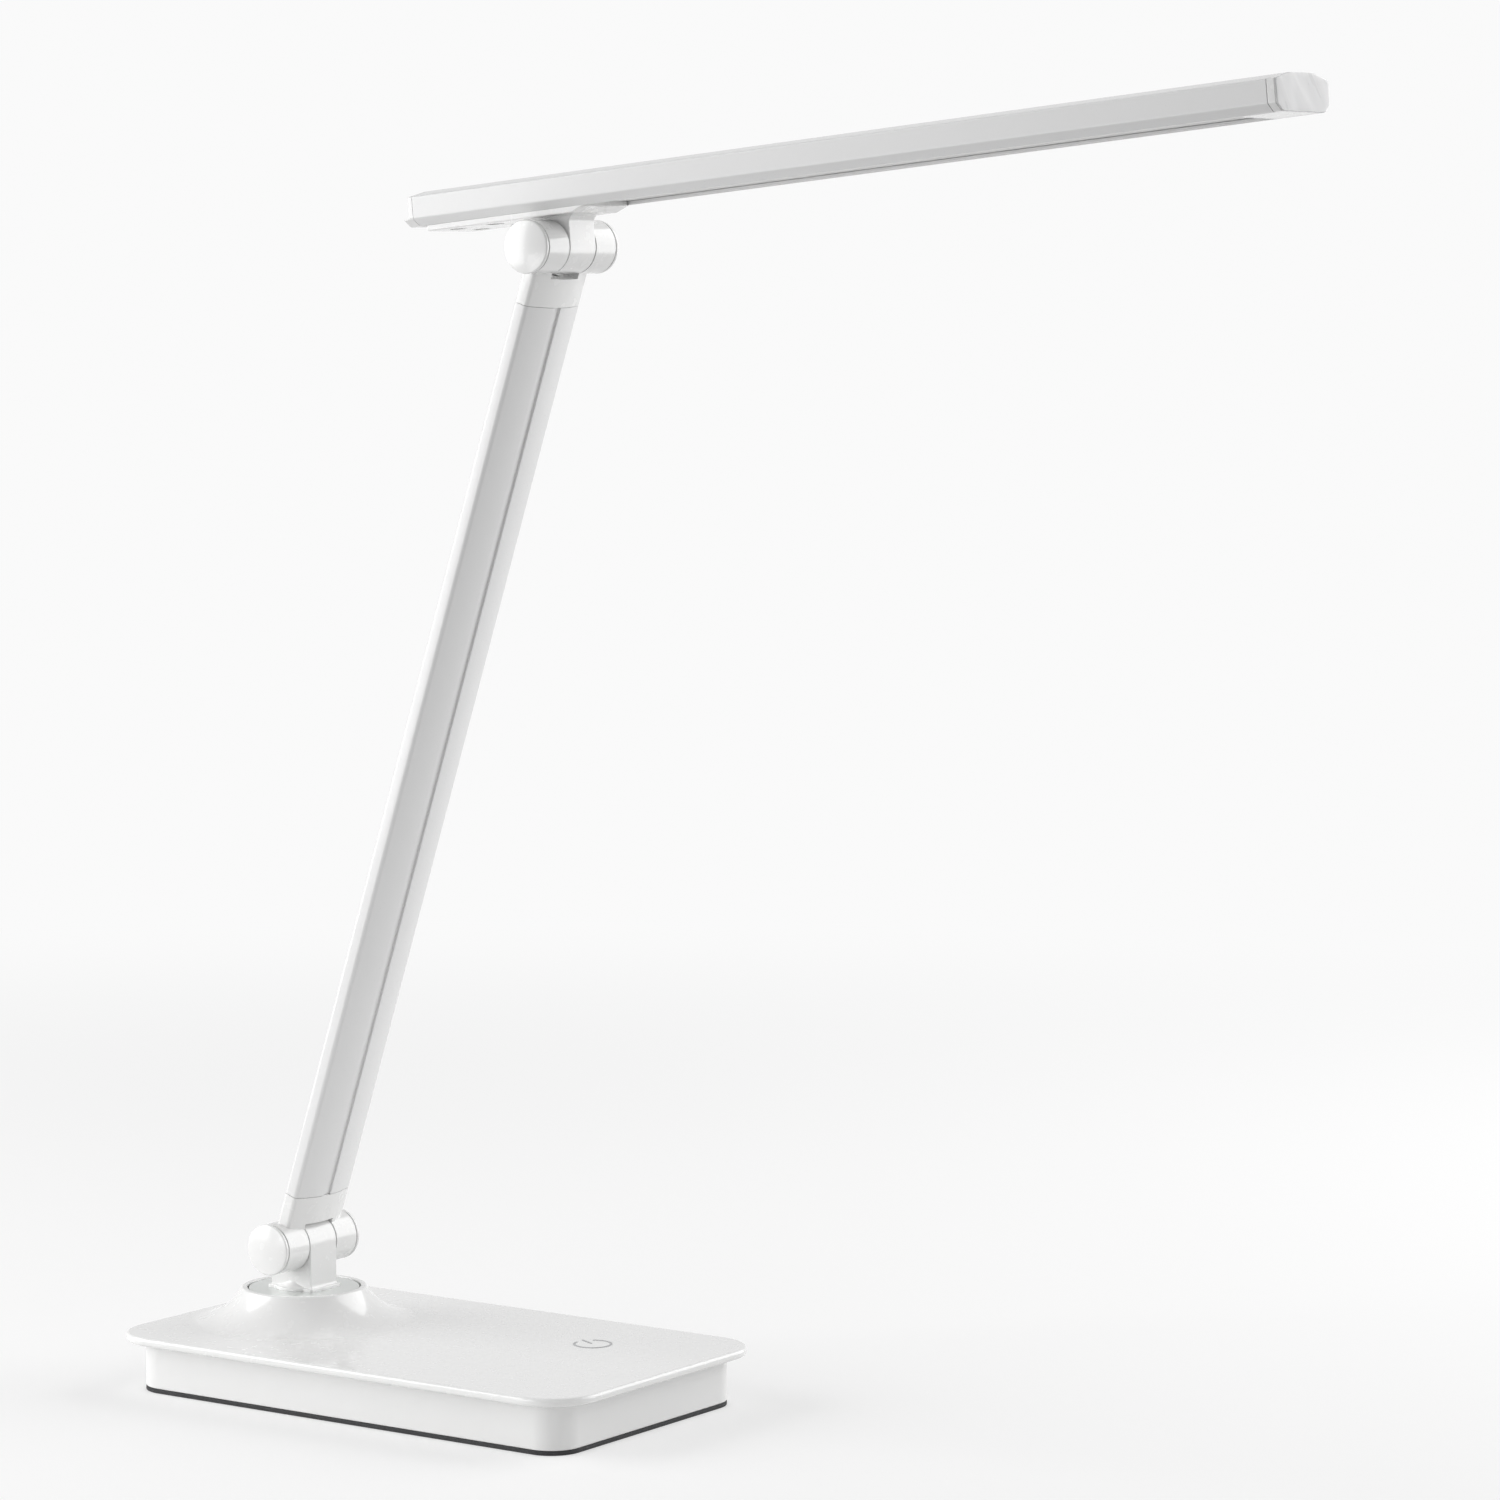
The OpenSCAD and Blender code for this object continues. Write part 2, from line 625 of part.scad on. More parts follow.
module base_cover() {
    color("white") difference() {
        union() {
            difference() {
                translate([0, 0, cover_under_z])
                    rounded_slab(base_l, base_w, base_corner_r, rim_t, rim_round);
                at_turret() translate([0, 0, cover_under_z - eps])
                    cylinder(r = flare_foot_r - neck_wall, h = rim_t + 2 * eps);
            }
            at_turret() rotate_extrude() neck_profile();
            // locating rib
            translate([0, 0, cover_under_z - rib_h]) linear_extrude(rib_h + eps) difference() {
                inset = tray_wall + locate_clear;
                rounded_rect(tray_l - 2 * inset, tray_w - 2 * inset, tray_corner_r - inset);
                rounded_rect(tray_l - 2 * (inset + rib_t), tray_w - 2 * (inset + rib_t),
                    tray_corner_r - inset - rib_t);
                // room for the power inlet
                translate([jack_x, -jack_w / 2 - jack_room]) square([jack_l, jack_w + 2 * jack_room]);
            }
            at_corners(screw_x, screw_y) translate([0, 0, boss_low_z])
                cylinder(r = boss_r, h = cover_under_z - boss_low_z + eps);
            translate([driver_x, driver_y, board_top_z])
                at_corners(driver_l / 2 - driver_screw_inset, driver_w / 2 - driver_screw_inset)
                    cylinder(r = driver_post_r, h = driver_post_h + eps);
        }
        at_corners(screw_x, screw_y) translate([0, 0, boss_low_z - eps])
            cylinder(r = screw_r + pilot_clear, h = screw_l - pillar_h + tip_clear + eps);
        translate([driver_x, driver_y, board_top_z - eps])
            at_corners(driver_l / 2 - driver_screw_inset, driver_w / 2 - driver_screw_inset)
                cylinder(r = board_screw_r + pilot_clear, h = driver_post_h);
    }
}

module base_tray() {
    color("white") difference() {
        union() {
            translate([0, 0, pad_t]) difference() {
                linear_extrude(cover_under_z - pad_t)
                    rounded_rect(tray_l, tray_w, tray_corner_r);
                translate([0, 0, tray_floor]) linear_extrude(far)
                    rounded_rect(tray_l - 2 * tray_wall, tray_w - 2 * tray_wall,
                        tray_corner_r - tray_wall);
            }
            at_corners(screw_x, screw_y) translate([0, 0, pad_t + eps])
                cylinder(r = pillar_r, h = tray_floor + pillar_h - eps);
            at_corners(ballast_screw_x, ballast_screw_y) translate([0, 0, pad_t + eps])
                cylinder(r = ballast_post_r, h = tray_floor + ballast_t - pass_clear);
        }
        at_corners(screw_x, screw_y) {
            translate([0, 0, -eps]) cylinder(r = screw_r + pass_clear, h = far);
            translate([0, 0, -eps])
                cylinder(r = screw_head_r + pass_clear, h = boss_low_z - pillar_h + eps);
        }
        at_corners(ballast_screw_x, ballast_screw_y) translate([0, 0, tray_top_z])
            cylinder(r = ballast_screw_r + pilot_clear, h = far);
        translate([jack_x + eps, 0, jack_z]) rotate([0, -90, 0])
            cylinder(r = jack_nose_r + pass_clear, h = far);
    }
}

module ballast_plate() {
    color("slategray") difference() {
        translate([0, 0, tray_top_z]) linear_extrude(ballast_t)
            rounded_rect(ballast_l, ballast_w, ballast_corner_r);
        at_corners(ballast_screw_x, ballast_screw_y) translate([0, 0, tray_top_z - eps])
            cylinder(r = ballast_post_r + pass_clear, h = ballast_t + 2 * eps);
    }
}

module anti_slip_pad() {
    color("dimgray") linear_extrude(pad_t) rounded_rect(tray_l, tray_w, tray_corner_r);
}

module touch_symbol() {
    color("gray") translate([symbol_x, symbol_y, base_top_z]) rotate([0, 0, symbol_turn])
        linear_extrude(symbol_t) {
            difference() {
                circle(r = symbol_r);
                circle(r = symbol_r - symbol_line);
                polygon([[0, 0], [far, far * tan(symbol_gap / 2)], [far, -far * tan(symbol_gap / 2)]]);
            }
            translate([symbol_line, -symbol_line / 2]) square([symbol_bar, symbol_line]);
        }
}

module touch_board() {
    color("darkgreen") translate([symbol_x, symbol_y, cover_under_z - pcb_t / 2]) {
        cube([touch_side, touch_side, pcb_t], center = true);
        // sensor chip, and the plug at the board's front edge
        translate([-touch_chip[0], -touch_chip[1] / 2, -pcb_t / 2 - touch_chip[2]])
            cube(touch_chip + [0, 0, eps]);
        translate([touch_side / 2 - touch_plug[0], -touch_plug[1] / 2, -pcb_t / 2 - touch_plug[2]])
            cube(touch_plug + [0, 0, eps]);
    }
}

module driver_board() {
    screw_dx = driver_l / 2 - driver_screw_inset;
    screw_dy = driver_w / 2 - driver_screw_inset;
    color("darkgreen") translate([driver_x, driver_y, board_low_z]) {
        difference() {
            translate([-driver_l / 2, -driver_w / 2, 0]) cube([driver_l, driver_w, pcb_t]);
            at_corners(screw_dx, screw_dy) translate([0, 0, -eps])
                cylinder(r = board_screw_r + pass_clear, h = pcb_t + 2 * eps);
        }
        translate([coil_x, 0, -coil_h]) cylinder(r = coil_r, h = coil_h + eps);
        for (chip = driver_chips) translate([chip[0], chip[1], -chip[2][2]])
            cube(chip[2] + [0, 0, eps]);
        // lead sockets at the board's back edge
        for (y = [-socket_y, socket_y])
            translate([-driver_l / 2 - socket_out, y - lead_socket[1] / 2, -lead_socket[2]])
                cube(lead_socket + [0, 0, eps]);
    }
}

module power_inlet() {
    color("black") difference() {
        union() {
            translate([jack_x, -jack_w / 2, tray_top_z]) cube([jack_l, jack_w, jack_h]);
            translate([jack_x - tray_wall + jack_sink, 0, jack_z]) rotate([0, 90, 0])
                cylinder(r = jack_nose_r, h = tray_wall);
        }
        translate([jack_x - tray_wall, 0, jack_z]) rotate([0, 90, 0]) difference() {
            cylinder(r = jack_socket_r, h = jack_socket_h + jack_sink);
            translate([0, 0, jack_sink + jack_pin_sink]) cylinder(r = jack_pin_r, h = far);
        }
    }
}

module cover_screws() {
    color("silver") at_corners(screw_x, screw_y) translate([0, 0, tray_top_z]) difference() {
        union() {
            translate([0, 0, -screw_head_h]) cylinder(r = screw_head_r, h = screw_head_h);
            cylinder(r = screw_r, h = screw_l);
        }
        translate([0, 0, -screw_head_h - eps]) cross_slot(screw_head_r, screw_head_h / 2);
    }
}

// Cross recess of a screw whose head has radius r
module cross_slot(r, h) {
    for (a = [0, 90]) rotate([0, 0, a]) translate([-cross_l * r / 2, -cross_w * r / 2, 0])
        cube([cross_l * r, cross_w * r, h]);
}

module ballast_screws() {
    color("silver") at_corners(ballast_screw_x, ballast_screw_y)
        translate([0, 0, ballast_top_z]) difference() {
            union() {
                cylinder(r = ballast_head_r, h = ballast_head_h);
                translate([0, 0, -ballast_screw_l]) cylinder(r = ballast_screw_r, h = ballast_screw_l);
            }
            translate([0, 0, ballast_head_h / 2 + eps])
                cross_slot(ballast_head_r / 2, ballast_head_h / 2);
        }
}

module board_screws() {
    color("silver") translate([driver_x, driver_y, board_low_z])
        at_corners(driver_l / 2 - driver_screw_inset, driver_w / 2 - driver_screw_inset) {
            translate([0, 0, -board_head_h]) cylinder(r = board_head_r, h = board_head_h);
            cylinder(r = board_screw_r, h = pcb_t + driver_post_h - tip_clear);
        }
}

// Lead from the power inlet to the driver board, under the swivel nut
module power_lead() {
    start = jack_x + jack_l;
    color("dimgray") lead([
        [start, -jack_w / 4, lead_z], [start + lead_run, -jack_w / 4, lead_z],
        [socket_back - lead_run, power_lead_y, socket_z], [socket_back, power_lead_y, socket_z]
    ], lead_r, [0, 0, 1]);
}

// Lead from the driver board up through the swivel spindle into the turret
module lamp_lead() {
    color("dimgray") lead([
        [socket_back, lamp_lead_y, socket_z], [socket_back - lead_run, lamp_lead_y, socket_z],
        [-turret_back, 0, lead_z], [-turret_back, 0, spindle_top_z + lead_way_up / 2]
    ], lead_r, [0, 1, 0]);
}

// ---- swivel and turret ----

module swivel_disc() {
    color("gainsboro") at_turret() translate([0, 0, disc_low_z]) difference() {
        cylinder(r = disc_r, h = disc_t);
        translate([0, 0, -eps]) cylinder(r = spindle_r + run_clear, h = disc_t + 2 * eps);
    }
}

module turret() {
    foot_x = 2 * (barrel_r + foot_out);
    foot_y = tongue_w + 2 * foot_out;
    color("white") at_turret() difference() {
        union() {
            translate([0, 0, disc_top_z]) linear_extrude(foot_h) rounded_rect(foot_x, foot_y, foot_out);
            // round boss whose flare runs into the tongue's sides
            translate([0, 0, disc_top_z]) rotate_extrude() difference() {
                square([foot_boss_r, foot_h + foot_flare_r]);
                translate([foot_boss_r, foot_h + foot_flare_r]) circle(r = foot_flare_r);
            }
            translate([-barrel_r, -tongue_w / 2, foot_top_z - eps])
                cube([2 * barrel_r, tongue_w, hinge_z - foot_top_z + eps]);
            translate([0, 0, hinge_z]) across(-tongue_w / 2, tongue_w / 2, barrel_r);
            // hollow fillets in front of and behind the tongue
            for (turn = [0, 180]) rotate([0, 0, turn]) translate([barrel_r, 0, foot_top_z])
                fillet_prism(tongue_w, foot_fillet);
        }
        translate([0, 0, hinge_z]) across(-far, far, bolt_r + run_clear);
        translate([0, 0, disc_top_z - eps])
            cylinder(r = spindle_r + run_clear, h = spindle_grip + eps);
        translate([0, 0, disc_top_z])
            cylinder(r = lead_way_r, h = spindle_grip + lead_way_up);
    }
}

module swivel_spindle() {
    color("silver") at_turret() difference() {
        translate([0, 0, spindle_low_z]) cylinder(r = spindle_r, h = spindle_top_z - spindle_low_z);
        translate([0, 0, spindle_low_z - eps]) cylinder(r = spindle_bore_r, h = far);
    }
}

module swivel_washer() {
    color("silver") at_turret() translate([0, 0, washer_low_z]) difference() {
        cylinder(r = swivel_washer_r, h = swivel_washer_t);
        translate([0, 0, -eps]) cylinder(r = spindle_r + run_clear, h = swivel_washer_t + 2 * eps);
    }
}

module swivel_nut() {
    color("silver") at_turret() translate([0, 0, swivel_nut_low_z]) difference() {
        cylinder(r = swivel_nut_af / sqrt(3), h = swivel_nut_h, $fn = 6);
        translate([0, 0, -eps]) cylinder(r = spindle_r + run_clear, h = swivel_nut_h + 2 * eps);
    }
}

// ---- hinges and arm ----

// Yoke at the arm's end: z runs from the hinge axis into the tube
module yoke(seam, back) {
    difference() {
        union() {
            linear_extrude(seam) arm_outline();
            translate([0, 0, seam - eps]) linear_extrude(plug_l + eps)
                arm_outline(arm_wall + plug_clear);
            across(-knuckle_end, knuckle_end, barrel_r);
        }
        // slot for the tongue
        translate([-far, -knuckle_in, -far]) cube([2 * far, 2 * knuckle_in, far + slot_floor]);
        across(-far, far, bolt_r + run_clear);
        for (side = [-1, 1]) {
            across(pocket_floor, far, pocket_r, side);
            across(knuckle_end - spigot_l - locate_clear, far, spigot_r + locate_clear / 2, side);
        }
        cylinder(r = lead_way_r, h = far);
        // seats and pilot holes of the yoke screws, in the arm's back
        for (y = [-1, 1]) translate([back * (arm_t / 2), y * yoke_screw_y, seam + plug_l / 2])
            rotate([0, -back * 90, 0]) {
                translate([0, 0, -far]) cylinder(r = yoke_head_r + pocket_clear, h = far + yoke_seat);
                cylinder(r = yoke_screw_r + pilot_clear, h = yoke_seat + yoke_screw_l + tip_clear);
            }
    }
}

module lower_yoke() { color("whitesmoke") on_arm() yoke(lower_seam, -1); }
module upper_yoke() { color("whitesmoke") on_arm_top() yoke(upper_seam, -1); }

module arm_tube() {
    color("silver") on_arm() translate([0, 0, lower_seam]) difference() {
        linear_extrude(tube_l) difference() {
            arm_outline();
            arm_outline(arm_wall);
            for (x = [-1, 1]) translate([x * arm_t / 2, 0])
                square([2 * groove_h, groove_w], center = true);
        }
        for (z = [plug_l / 2, tube_l - plug_l / 2], y = [-1, 1])
            translate([-far, y * yoke_screw_y, z]) rotate([0, 90, 0])
                cylinder(r = yoke_head_r + pass_clear, h = far);
    }
}

module yoke_screws() {
    color("silver") on_arm()
        for (z = [lower_seam + plug_l / 2, arm_l - upper_seam - plug_l / 2], y = [-1, 1])
            translate([-arm_t / 2 + yoke_seat, y * yoke_screw_y, z]) rotate([0, 90, 0]) {
                translate([0, 0, -yoke_head_h]) cylinder(r = yoke_head_r, h = yoke_head_h);
                cylinder(r = yoke_screw_r, h = yoke_screw_l);
            }
}

module arm_lead() {
    color("dimgray") on_arm() translate([0, 0, slot_floor + 1])
        cylinder(r = lead_r, h = arm_l - 2 * (slot_floor + 1), $fn = 24);
}

module hinge_bolt() {
    color("silver") difference() {
        union() {
            across(-pocket_floor, pocket_floor + nut_h, bolt_r);
            across(pocket_floor, pocket_floor + bolt_head_h, bolt_head_r, -1);
        }
        rotate([90, 0, 0]) translate([0, 0, pocket_floor + bolt_head_h - bolt_socket_h])
            cylinder(r = bolt_socket_af / sqrt(3), h = far, $fn = 6);
    }
}

module hinge_nut() {
    color("silver") rotate([-90, 0, 0]) translate([0, 0, pocket_floor]) difference() {
        cylinder(r = nut_af / sqrt(3), h = nut_h, $fn = 6);
        translate([0, 0, -eps]) cylinder(r = bolt_r + run_clear, h = nut_h + 2 * eps);
    }
}

module hinge_washers() {
    color("dimgray") for (side = [-1, 1]) difference() {
        across(tongue_w / 2, knuckle_in, washer_r, side);
        across(0, far, bolt_r + run_clear, side);
    }
}

// Domed cap in the end of a knuckle
module hinge_cap(side) {
    rim_in = knuckle_end + cap_gap;
    rim_out = rim_in + cap_rim_t;
    dome_r = (barrel_r * barrel_r + cap_dome * cap_dome) / (2 * cap_dome);
    color("white") {
        across(knuckle_end - spigot_l, rim_in + eps, spigot_r, side);
        across(rim_in, rim_out, barrel_r, side);
        rotate([-side * 90, 0, 0]) translate([0, 0, rim_out]) rotate_extrude() intersection() {
            translate([0, cap_dome - dome_r]) circle(r = dome_r, $fn = 256);
            translate([0, -eps]) square([barrel_r, cap_dome + 2 * eps]);
        }
    }
}

module lower_hinge_bolt() { on_arm() hinge_bolt(); }
module lower_hinge_nut() { on_arm() hinge_nut(); }
module lower_hinge_washers() { on_arm() hinge_washers(); }
module lower_cap_right() { on_arm() hinge_cap(-1); }
module lower_cap_left() { on_arm() hinge_cap(1); }
module upper_hinge_bolt() { on_arm() translate([0, 0, arm_l]) hinge_bolt(); }
module upper_hinge_nut() { on_arm() translate([0, 0, arm_l]) hinge_nut(); }
module upper_hinge_washers() { on_arm() translate([0, 0, arm_l]) hinge_washers(); }
module upper_cap_right() { on_arm() translate([0, 0, arm_l]) hinge_cap(-1); }
module upper_cap_left() { on_arm() translate([0, 0, arm_l]) hinge_cap(1); }

// ---- light bar ----

module at_bracket_screws() {
    for (x = [bracket_screw_near, bracket_screw_far], y = [-1, 1])
        translate([-x, y * bracket_screw_y, plate_low]) children();
}

module head_bracket() {
    block_w = channel_w - 2 * block_clear;
    color("whitesmoke") on_head() difference() {
        union() {
            // plate with its sloped front end
            rotate([90, 0, 0]) linear_extrude(bracket_w, center = true) polygon([
                [-bracket_back, plate_low], [bracket_front, plate_low],
                [block_front, head_low], [-bracket_back, head_low]
            ]);
            // block that fills the channel up to the web
            translate([-bracket_back, -block_w / 2, head_low - eps])
                cube([bracket_back + block_front - block_clear, block_w, web_h + eps]);
            translate([-barrel_r, -tongue_w / 2, 0])
                cube([2 * barrel_r, tongue_w, plate_low + eps]);
            across(-tongue_w / 2, tongue_w / 2, barrel_r);
            for (side = [-1, 1]) translate([side * barrel_r, 0, plate_low])
                rotate([180, 0, side > 0 ? 0 : 180]) fillet_prism(tongue_w, bracket_fillet);
        }
        across(-far, far, bolt_r + run_clear);
        cylinder(r = lead_way_r, h = far);
        at_bracket_screws() {
            translate([0, 0, -eps]) cylinder(r = bracket_head_r + pass_clear,
                h = bracket_head_h + bracket_head_sink + eps);
            cylinder(r = bracket_screw_r + pass_clear, h = far);
        }
    }
}

module bracket_screws() {
    shank_l = web_high - plate_low - bracket_head_sink;
    color("silver") on_head() at_bracket_screws() translate([0, 0, bracket_head_sink]) difference() {
        union() {
            cylinder(r = bracket_head_r, h = bracket_head_h);
            cylinder(r = bracket_screw_r, h = shank_l);
        }
        translate([0, 0, -eps]) cross_slot(bracket_head_r, bracket_head_h / 2);
    }
}

module head_extrusion() {
    channel_half = channel_w / 2;
    groove_half = diffuser_w / 2 + diffuser_clear;
    groove_t = diffuser_t + 2 * diffuser_clear;
    color("white") on_head() difference() {
        along_head(-profile_back, profile_front) difference() {
            head_outline();
            chamber_outline();
            translate([-channel_half, head_low - eps]) square([channel_w, web_h + eps]);
            translate([-groove_half, groove_low]) square([2 * groove_half, groove_t]);
        }
        at_bracket_screws() cylinder(r = bracket_screw_r + pilot_clear, h = web_high - plate_low + eps);
        for (x = [0, head_lead_x]) translate([x, 0, web_low - eps])
            cylinder(r = lead_way_r, h = web_t + 2 * eps);
    }
}

module led_board() {
    color("white") on_head() translate([diffuser_back + end_gap, -led_board_w / 2, board_low])
        cube([diffuser_front - diffuser_back - 2 * end_gap, led_board_w, led_board_t]);
}

module leds() {
    first = (diffuser_back + diffuser_front - (led_count - 1) * led_pitch) / 2;
    color("khaki") on_head() for (i = [0 : led_count - 1], y = [-1, 1])
        translate([first + i * led_pitch, y * led_row_y, board_low - led_h / 2])
            cube([led_l, led_w, led_h], center = true);
}

module diffuser() {
    color("snow") on_head()
        translate([diffuser_back, -diffuser_w / 2, groove_low + diffuser_clear])
            cube([diffuser_front - diffuser_back, diffuser_w, diffuser_t]);
}

module front_cap() {
    tongue_half = channel_w / 2 - lug_clear;
    color("white") on_head() {
        along_head(profile_front, head_front) head_outline();
        along_head(profile_front - lug_l, profile_front + eps) chamber_outline(lug_clear);
        along_head(diffuser_front + end_gap, profile_front + eps)
            translate([-tongue_half, head_low])
                square([2 * tongue_half, web_h - led_board_t - led_h - end_gap]);
    }
}

module rear_cap() {
    color("white") on_head() {
        along_head(-head_back, -profile_back) head_outline();
        along_head(-profile_back - eps, -profile_back + lug_l) chamber_outline(lug_clear);
        along_head(-head_back - rear_lip, -head_back + eps) intersection() {
            head_outline();
            translate([-head_w, head_low]) square([2 * head_w, low_chamfer_h]);
        }
    }
}

// Lead from the bracket through the upper chamber to the LED board
module head_lead() {
    run_z = web_high + lead_r + locate_clear;
    color("dimgray") on_head() lead([
        [0, 0, bolt_r + lead_clear], [0, 0, run_z], [head_lead_x, 0, run_z],
        [head_lead_x, 0, board_low + led_board_t]
    ], lead_r, [0, 1, 0]);
}

base_cover();
base_tray();
ballast_plate();
anti_slip_pad();
touch_symbol();
touch_board();
driver_board();
power_inlet();
cover_screws();
ballast_screws();
board_screws();
power_lead();
lamp_lead();
swivel_disc();
turret();
swivel_spindle();
swivel_washer();
swivel_nut();
lower_yoke();
arm_tube();
upper_yoke();
yoke_screws();
arm_lead();
lower_hinge_bolt();
lower_hinge_nut();
lower_hinge_washers();
lower_cap_right();
lower_cap_left();
upper_hinge_bolt();
upper_hinge_nut();
upper_hinge_washers();
upper_cap_right();
upper_cap_left();
head_bracket();
bracket_screws();
head_extrusion();
led_board();
leds();
diffuser();
front_cap();
rear_cap();
head_lead();
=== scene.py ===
import json
import math

import bmesh
import bpy
from mathutils import Matrix, Vector


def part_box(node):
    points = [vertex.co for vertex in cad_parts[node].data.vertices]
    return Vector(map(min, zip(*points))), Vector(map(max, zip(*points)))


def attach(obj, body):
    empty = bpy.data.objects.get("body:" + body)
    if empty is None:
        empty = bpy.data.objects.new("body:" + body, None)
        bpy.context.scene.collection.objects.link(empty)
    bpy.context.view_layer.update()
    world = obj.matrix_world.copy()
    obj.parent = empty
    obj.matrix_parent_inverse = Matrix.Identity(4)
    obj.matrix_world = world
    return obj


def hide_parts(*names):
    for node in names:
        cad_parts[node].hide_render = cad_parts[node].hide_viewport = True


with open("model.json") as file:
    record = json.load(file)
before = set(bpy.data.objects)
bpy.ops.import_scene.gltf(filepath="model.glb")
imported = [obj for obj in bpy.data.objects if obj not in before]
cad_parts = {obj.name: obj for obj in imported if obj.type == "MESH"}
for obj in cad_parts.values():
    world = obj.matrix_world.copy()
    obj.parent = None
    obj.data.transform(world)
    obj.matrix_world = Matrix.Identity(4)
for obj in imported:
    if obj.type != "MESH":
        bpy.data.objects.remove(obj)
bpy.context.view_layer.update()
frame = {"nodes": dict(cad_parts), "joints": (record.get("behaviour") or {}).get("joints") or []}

mm = 0.001  # shapes are drawn in millimetres and set down in metres
turnSteps = 96  # faces round a turned piece
wideSteps = 128  # round a wide one
boreSteps = 48  # round a hole or half a hinge barrel
smallSteps = 32  # round a boss or a small hole
same = 1e-4  # mm within which two points count as one
slack = 0.01  # mm either way when a corner is found by its place
crisp = 0.01  # mm, a corner left as good as sharp
past = 1  # mm that a cutting shape reaches past the face it cuts
through = 20  # mm from the middle, far enough to cut through any hinge piece
levelFace = 0.999  # upright share of a level face's normal
print("frame loaded,", len(frame["nodes"]), "nodes")


# places of the moving groups, read from the joints

def jointPlace(name):
    return Vector(next(j["pos_m"] for j in frame["joints"] if j["name"] == name)) / mm


lowerAxis = jointPlace("arm_fold")
upperAxis = jointPlace("head_fold")
armLine = upperAxis - lowerAxis
armLean = math.atan2(armLine.x, armLine.z)
barRise = math.radians(5.77)  # the light bar points a little upwards

onBase = Matrix.Identity(4)
onTurret = Matrix.Translation((lowerAxis.x, 0, 0))
onArm = Matrix.Translation(lowerAxis) @ Matrix.Rotation(armLean, 4, "Y")
onArmTop = onArm @ Matrix.Translation((0, 0, armLine.length)) @ Matrix.Rotation(math.pi, 4, "X")
onBar = Matrix.Translation(upperAxis) @ Matrix.Rotation(-barRise, 4, "Y")
sideways = Matrix.Rotation(-math.pi / 2, 4, "X")  # a turned piece's axis to +Y
towardsBack = Matrix.Rotation(-math.pi / 2, 4, "Y")  # and to -X
profileUp = Matrix.Rotation(math.pi / 2, 4, "X")  # an outline drawn flat to the side view
alongBar = Matrix(((0, 0, 1, 0), (1, 0, 0, 0), (0, 1, 0, 0), (0, 0, 0, 1)))  # end view, pulled to the front


def toSide(side):
    # takes a turned piece's axis to +Y for side 1 and to -Y for side -1
    return Matrix.Rotation(0 if side > 0 else math.pi, 4, "Z") @ sideways


def boxOf(cadNode):
    low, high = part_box(cadNode)
    return low / mm, high / mm


# mesh helpers

def arc(cx, cy, radius, start, end, steps):
    angles = [math.radians(start + (end - start) * i / steps) for i in range(steps + 1)]
    return [(cx + radius * math.cos(a), cy + radius * math.sin(a)) for a in angles]


def outlineFace(points, level=0.0):
    bm = bmesh.new()
    bm.faces.new([bm.verts.new((x, y, level)) for x, y in points])
    return bm


def bevel(bm, geom, radius, steps, kind):
    bmesh.ops.bevel(bm, geom=geom, offset=radius, offset_type="OFFSET", segments=steps, profile=0.5,
                    affect=kind, clamp_overlap=True, material=-1)


def roundPoints(bm, radius, steps, test=lambda co: True):
    bevel(bm, [v for v in bm.verts if test(v.co)], radius, steps, "VERTICES")


def roundEdges(bm, radius, steps, test=lambda a, b: True, sharper=60):
    # edges between faces that turn by more than so many degrees, where the test holds for both ends
    edges = [e for e in bm.edges if len(e.link_faces) == 2
             and e.calc_face_angle(0) > math.radians(sharper) and test(e.verts[0].co, e.verts[1].co)]
    bevel(bm, edges, radius, steps, "EDGES")


def roundRims(bm, radius, ends):
    # the edges that lie in the planes of the two ends
    roundEdges(bm, radius, 2, lambda a, b: any(abs(a.z - end) + abs(b.z - end) < slack for end in ends))


def pull(bm, faces, shift):
    # extrudes faces, moves what is new and clears faces left inside
    grown = bmesh.ops.extrude_face_region(bm, geom=faces)["geom"]
    bmesh.ops.translate(bm, vec=shift, verts=[g for g in grown if isinstance(g, bmesh.types.BMVert)])
    inside = [f for f in faces if f.is_valid and any(len(e.link_faces) > 2 for e in f.edges)]
    bmesh.ops.delete(bm, geom=inside, context="FACES_ONLY")
    return [g for g in grown if isinstance(g, bmesh.types.BMFace)]


def prism(points, low, high, *rounding):
    # outline pulled from one height to another; rounding is what roundPoints takes for its corners
    bm = outlineFace(points, low)
    if rounding:
        roundPoints(bm, *rounding)
    pull(bm, bm.faces[:], (0, 0, high - low))
    bmesh.ops.recalc_face_normals(bm, faces=bm.faces[:])
    return bm


def ringPrism(outer, inner, low, high):
    # outline with a hole, pulled from one height to another; outer is a bmesh with one face
    hole = [outer.verts.new((x, y, low)) for x, y in inner]
    for a, b in zip(hole, hole[1:] + hole[:1]):
        outer.edges.new((a, b))
    bmesh.ops.delete(outer, geom=outer.faces[:], context="FACES_ONLY")
    bmesh.ops.triangle_fill(outer, edges=outer.edges[:], use_beauty=True, normal=(0, 0, 1))
    pull(outer, outer.faces[:], (0, 0, high - low))
    bmesh.ops.recalc_face_normals(outer, faces=outer.faces[:])
    return outer


def slab(low, high, corner, steps=16):
    # block between two corners, its upright edges rounded
    bm = bmesh.new()
    size = high - low
    bmesh.ops.create_cube(bm, size=1, matrix=Matrix.LocRotScale((low + high) / 2, None, size))
    upright = [e for e in bm.edges if abs(e.verts[0].co.z - e.verts[1].co.z) > size.z / 2]
    bevel(bm, upright, corner, steps, "EDGES")
    return bm


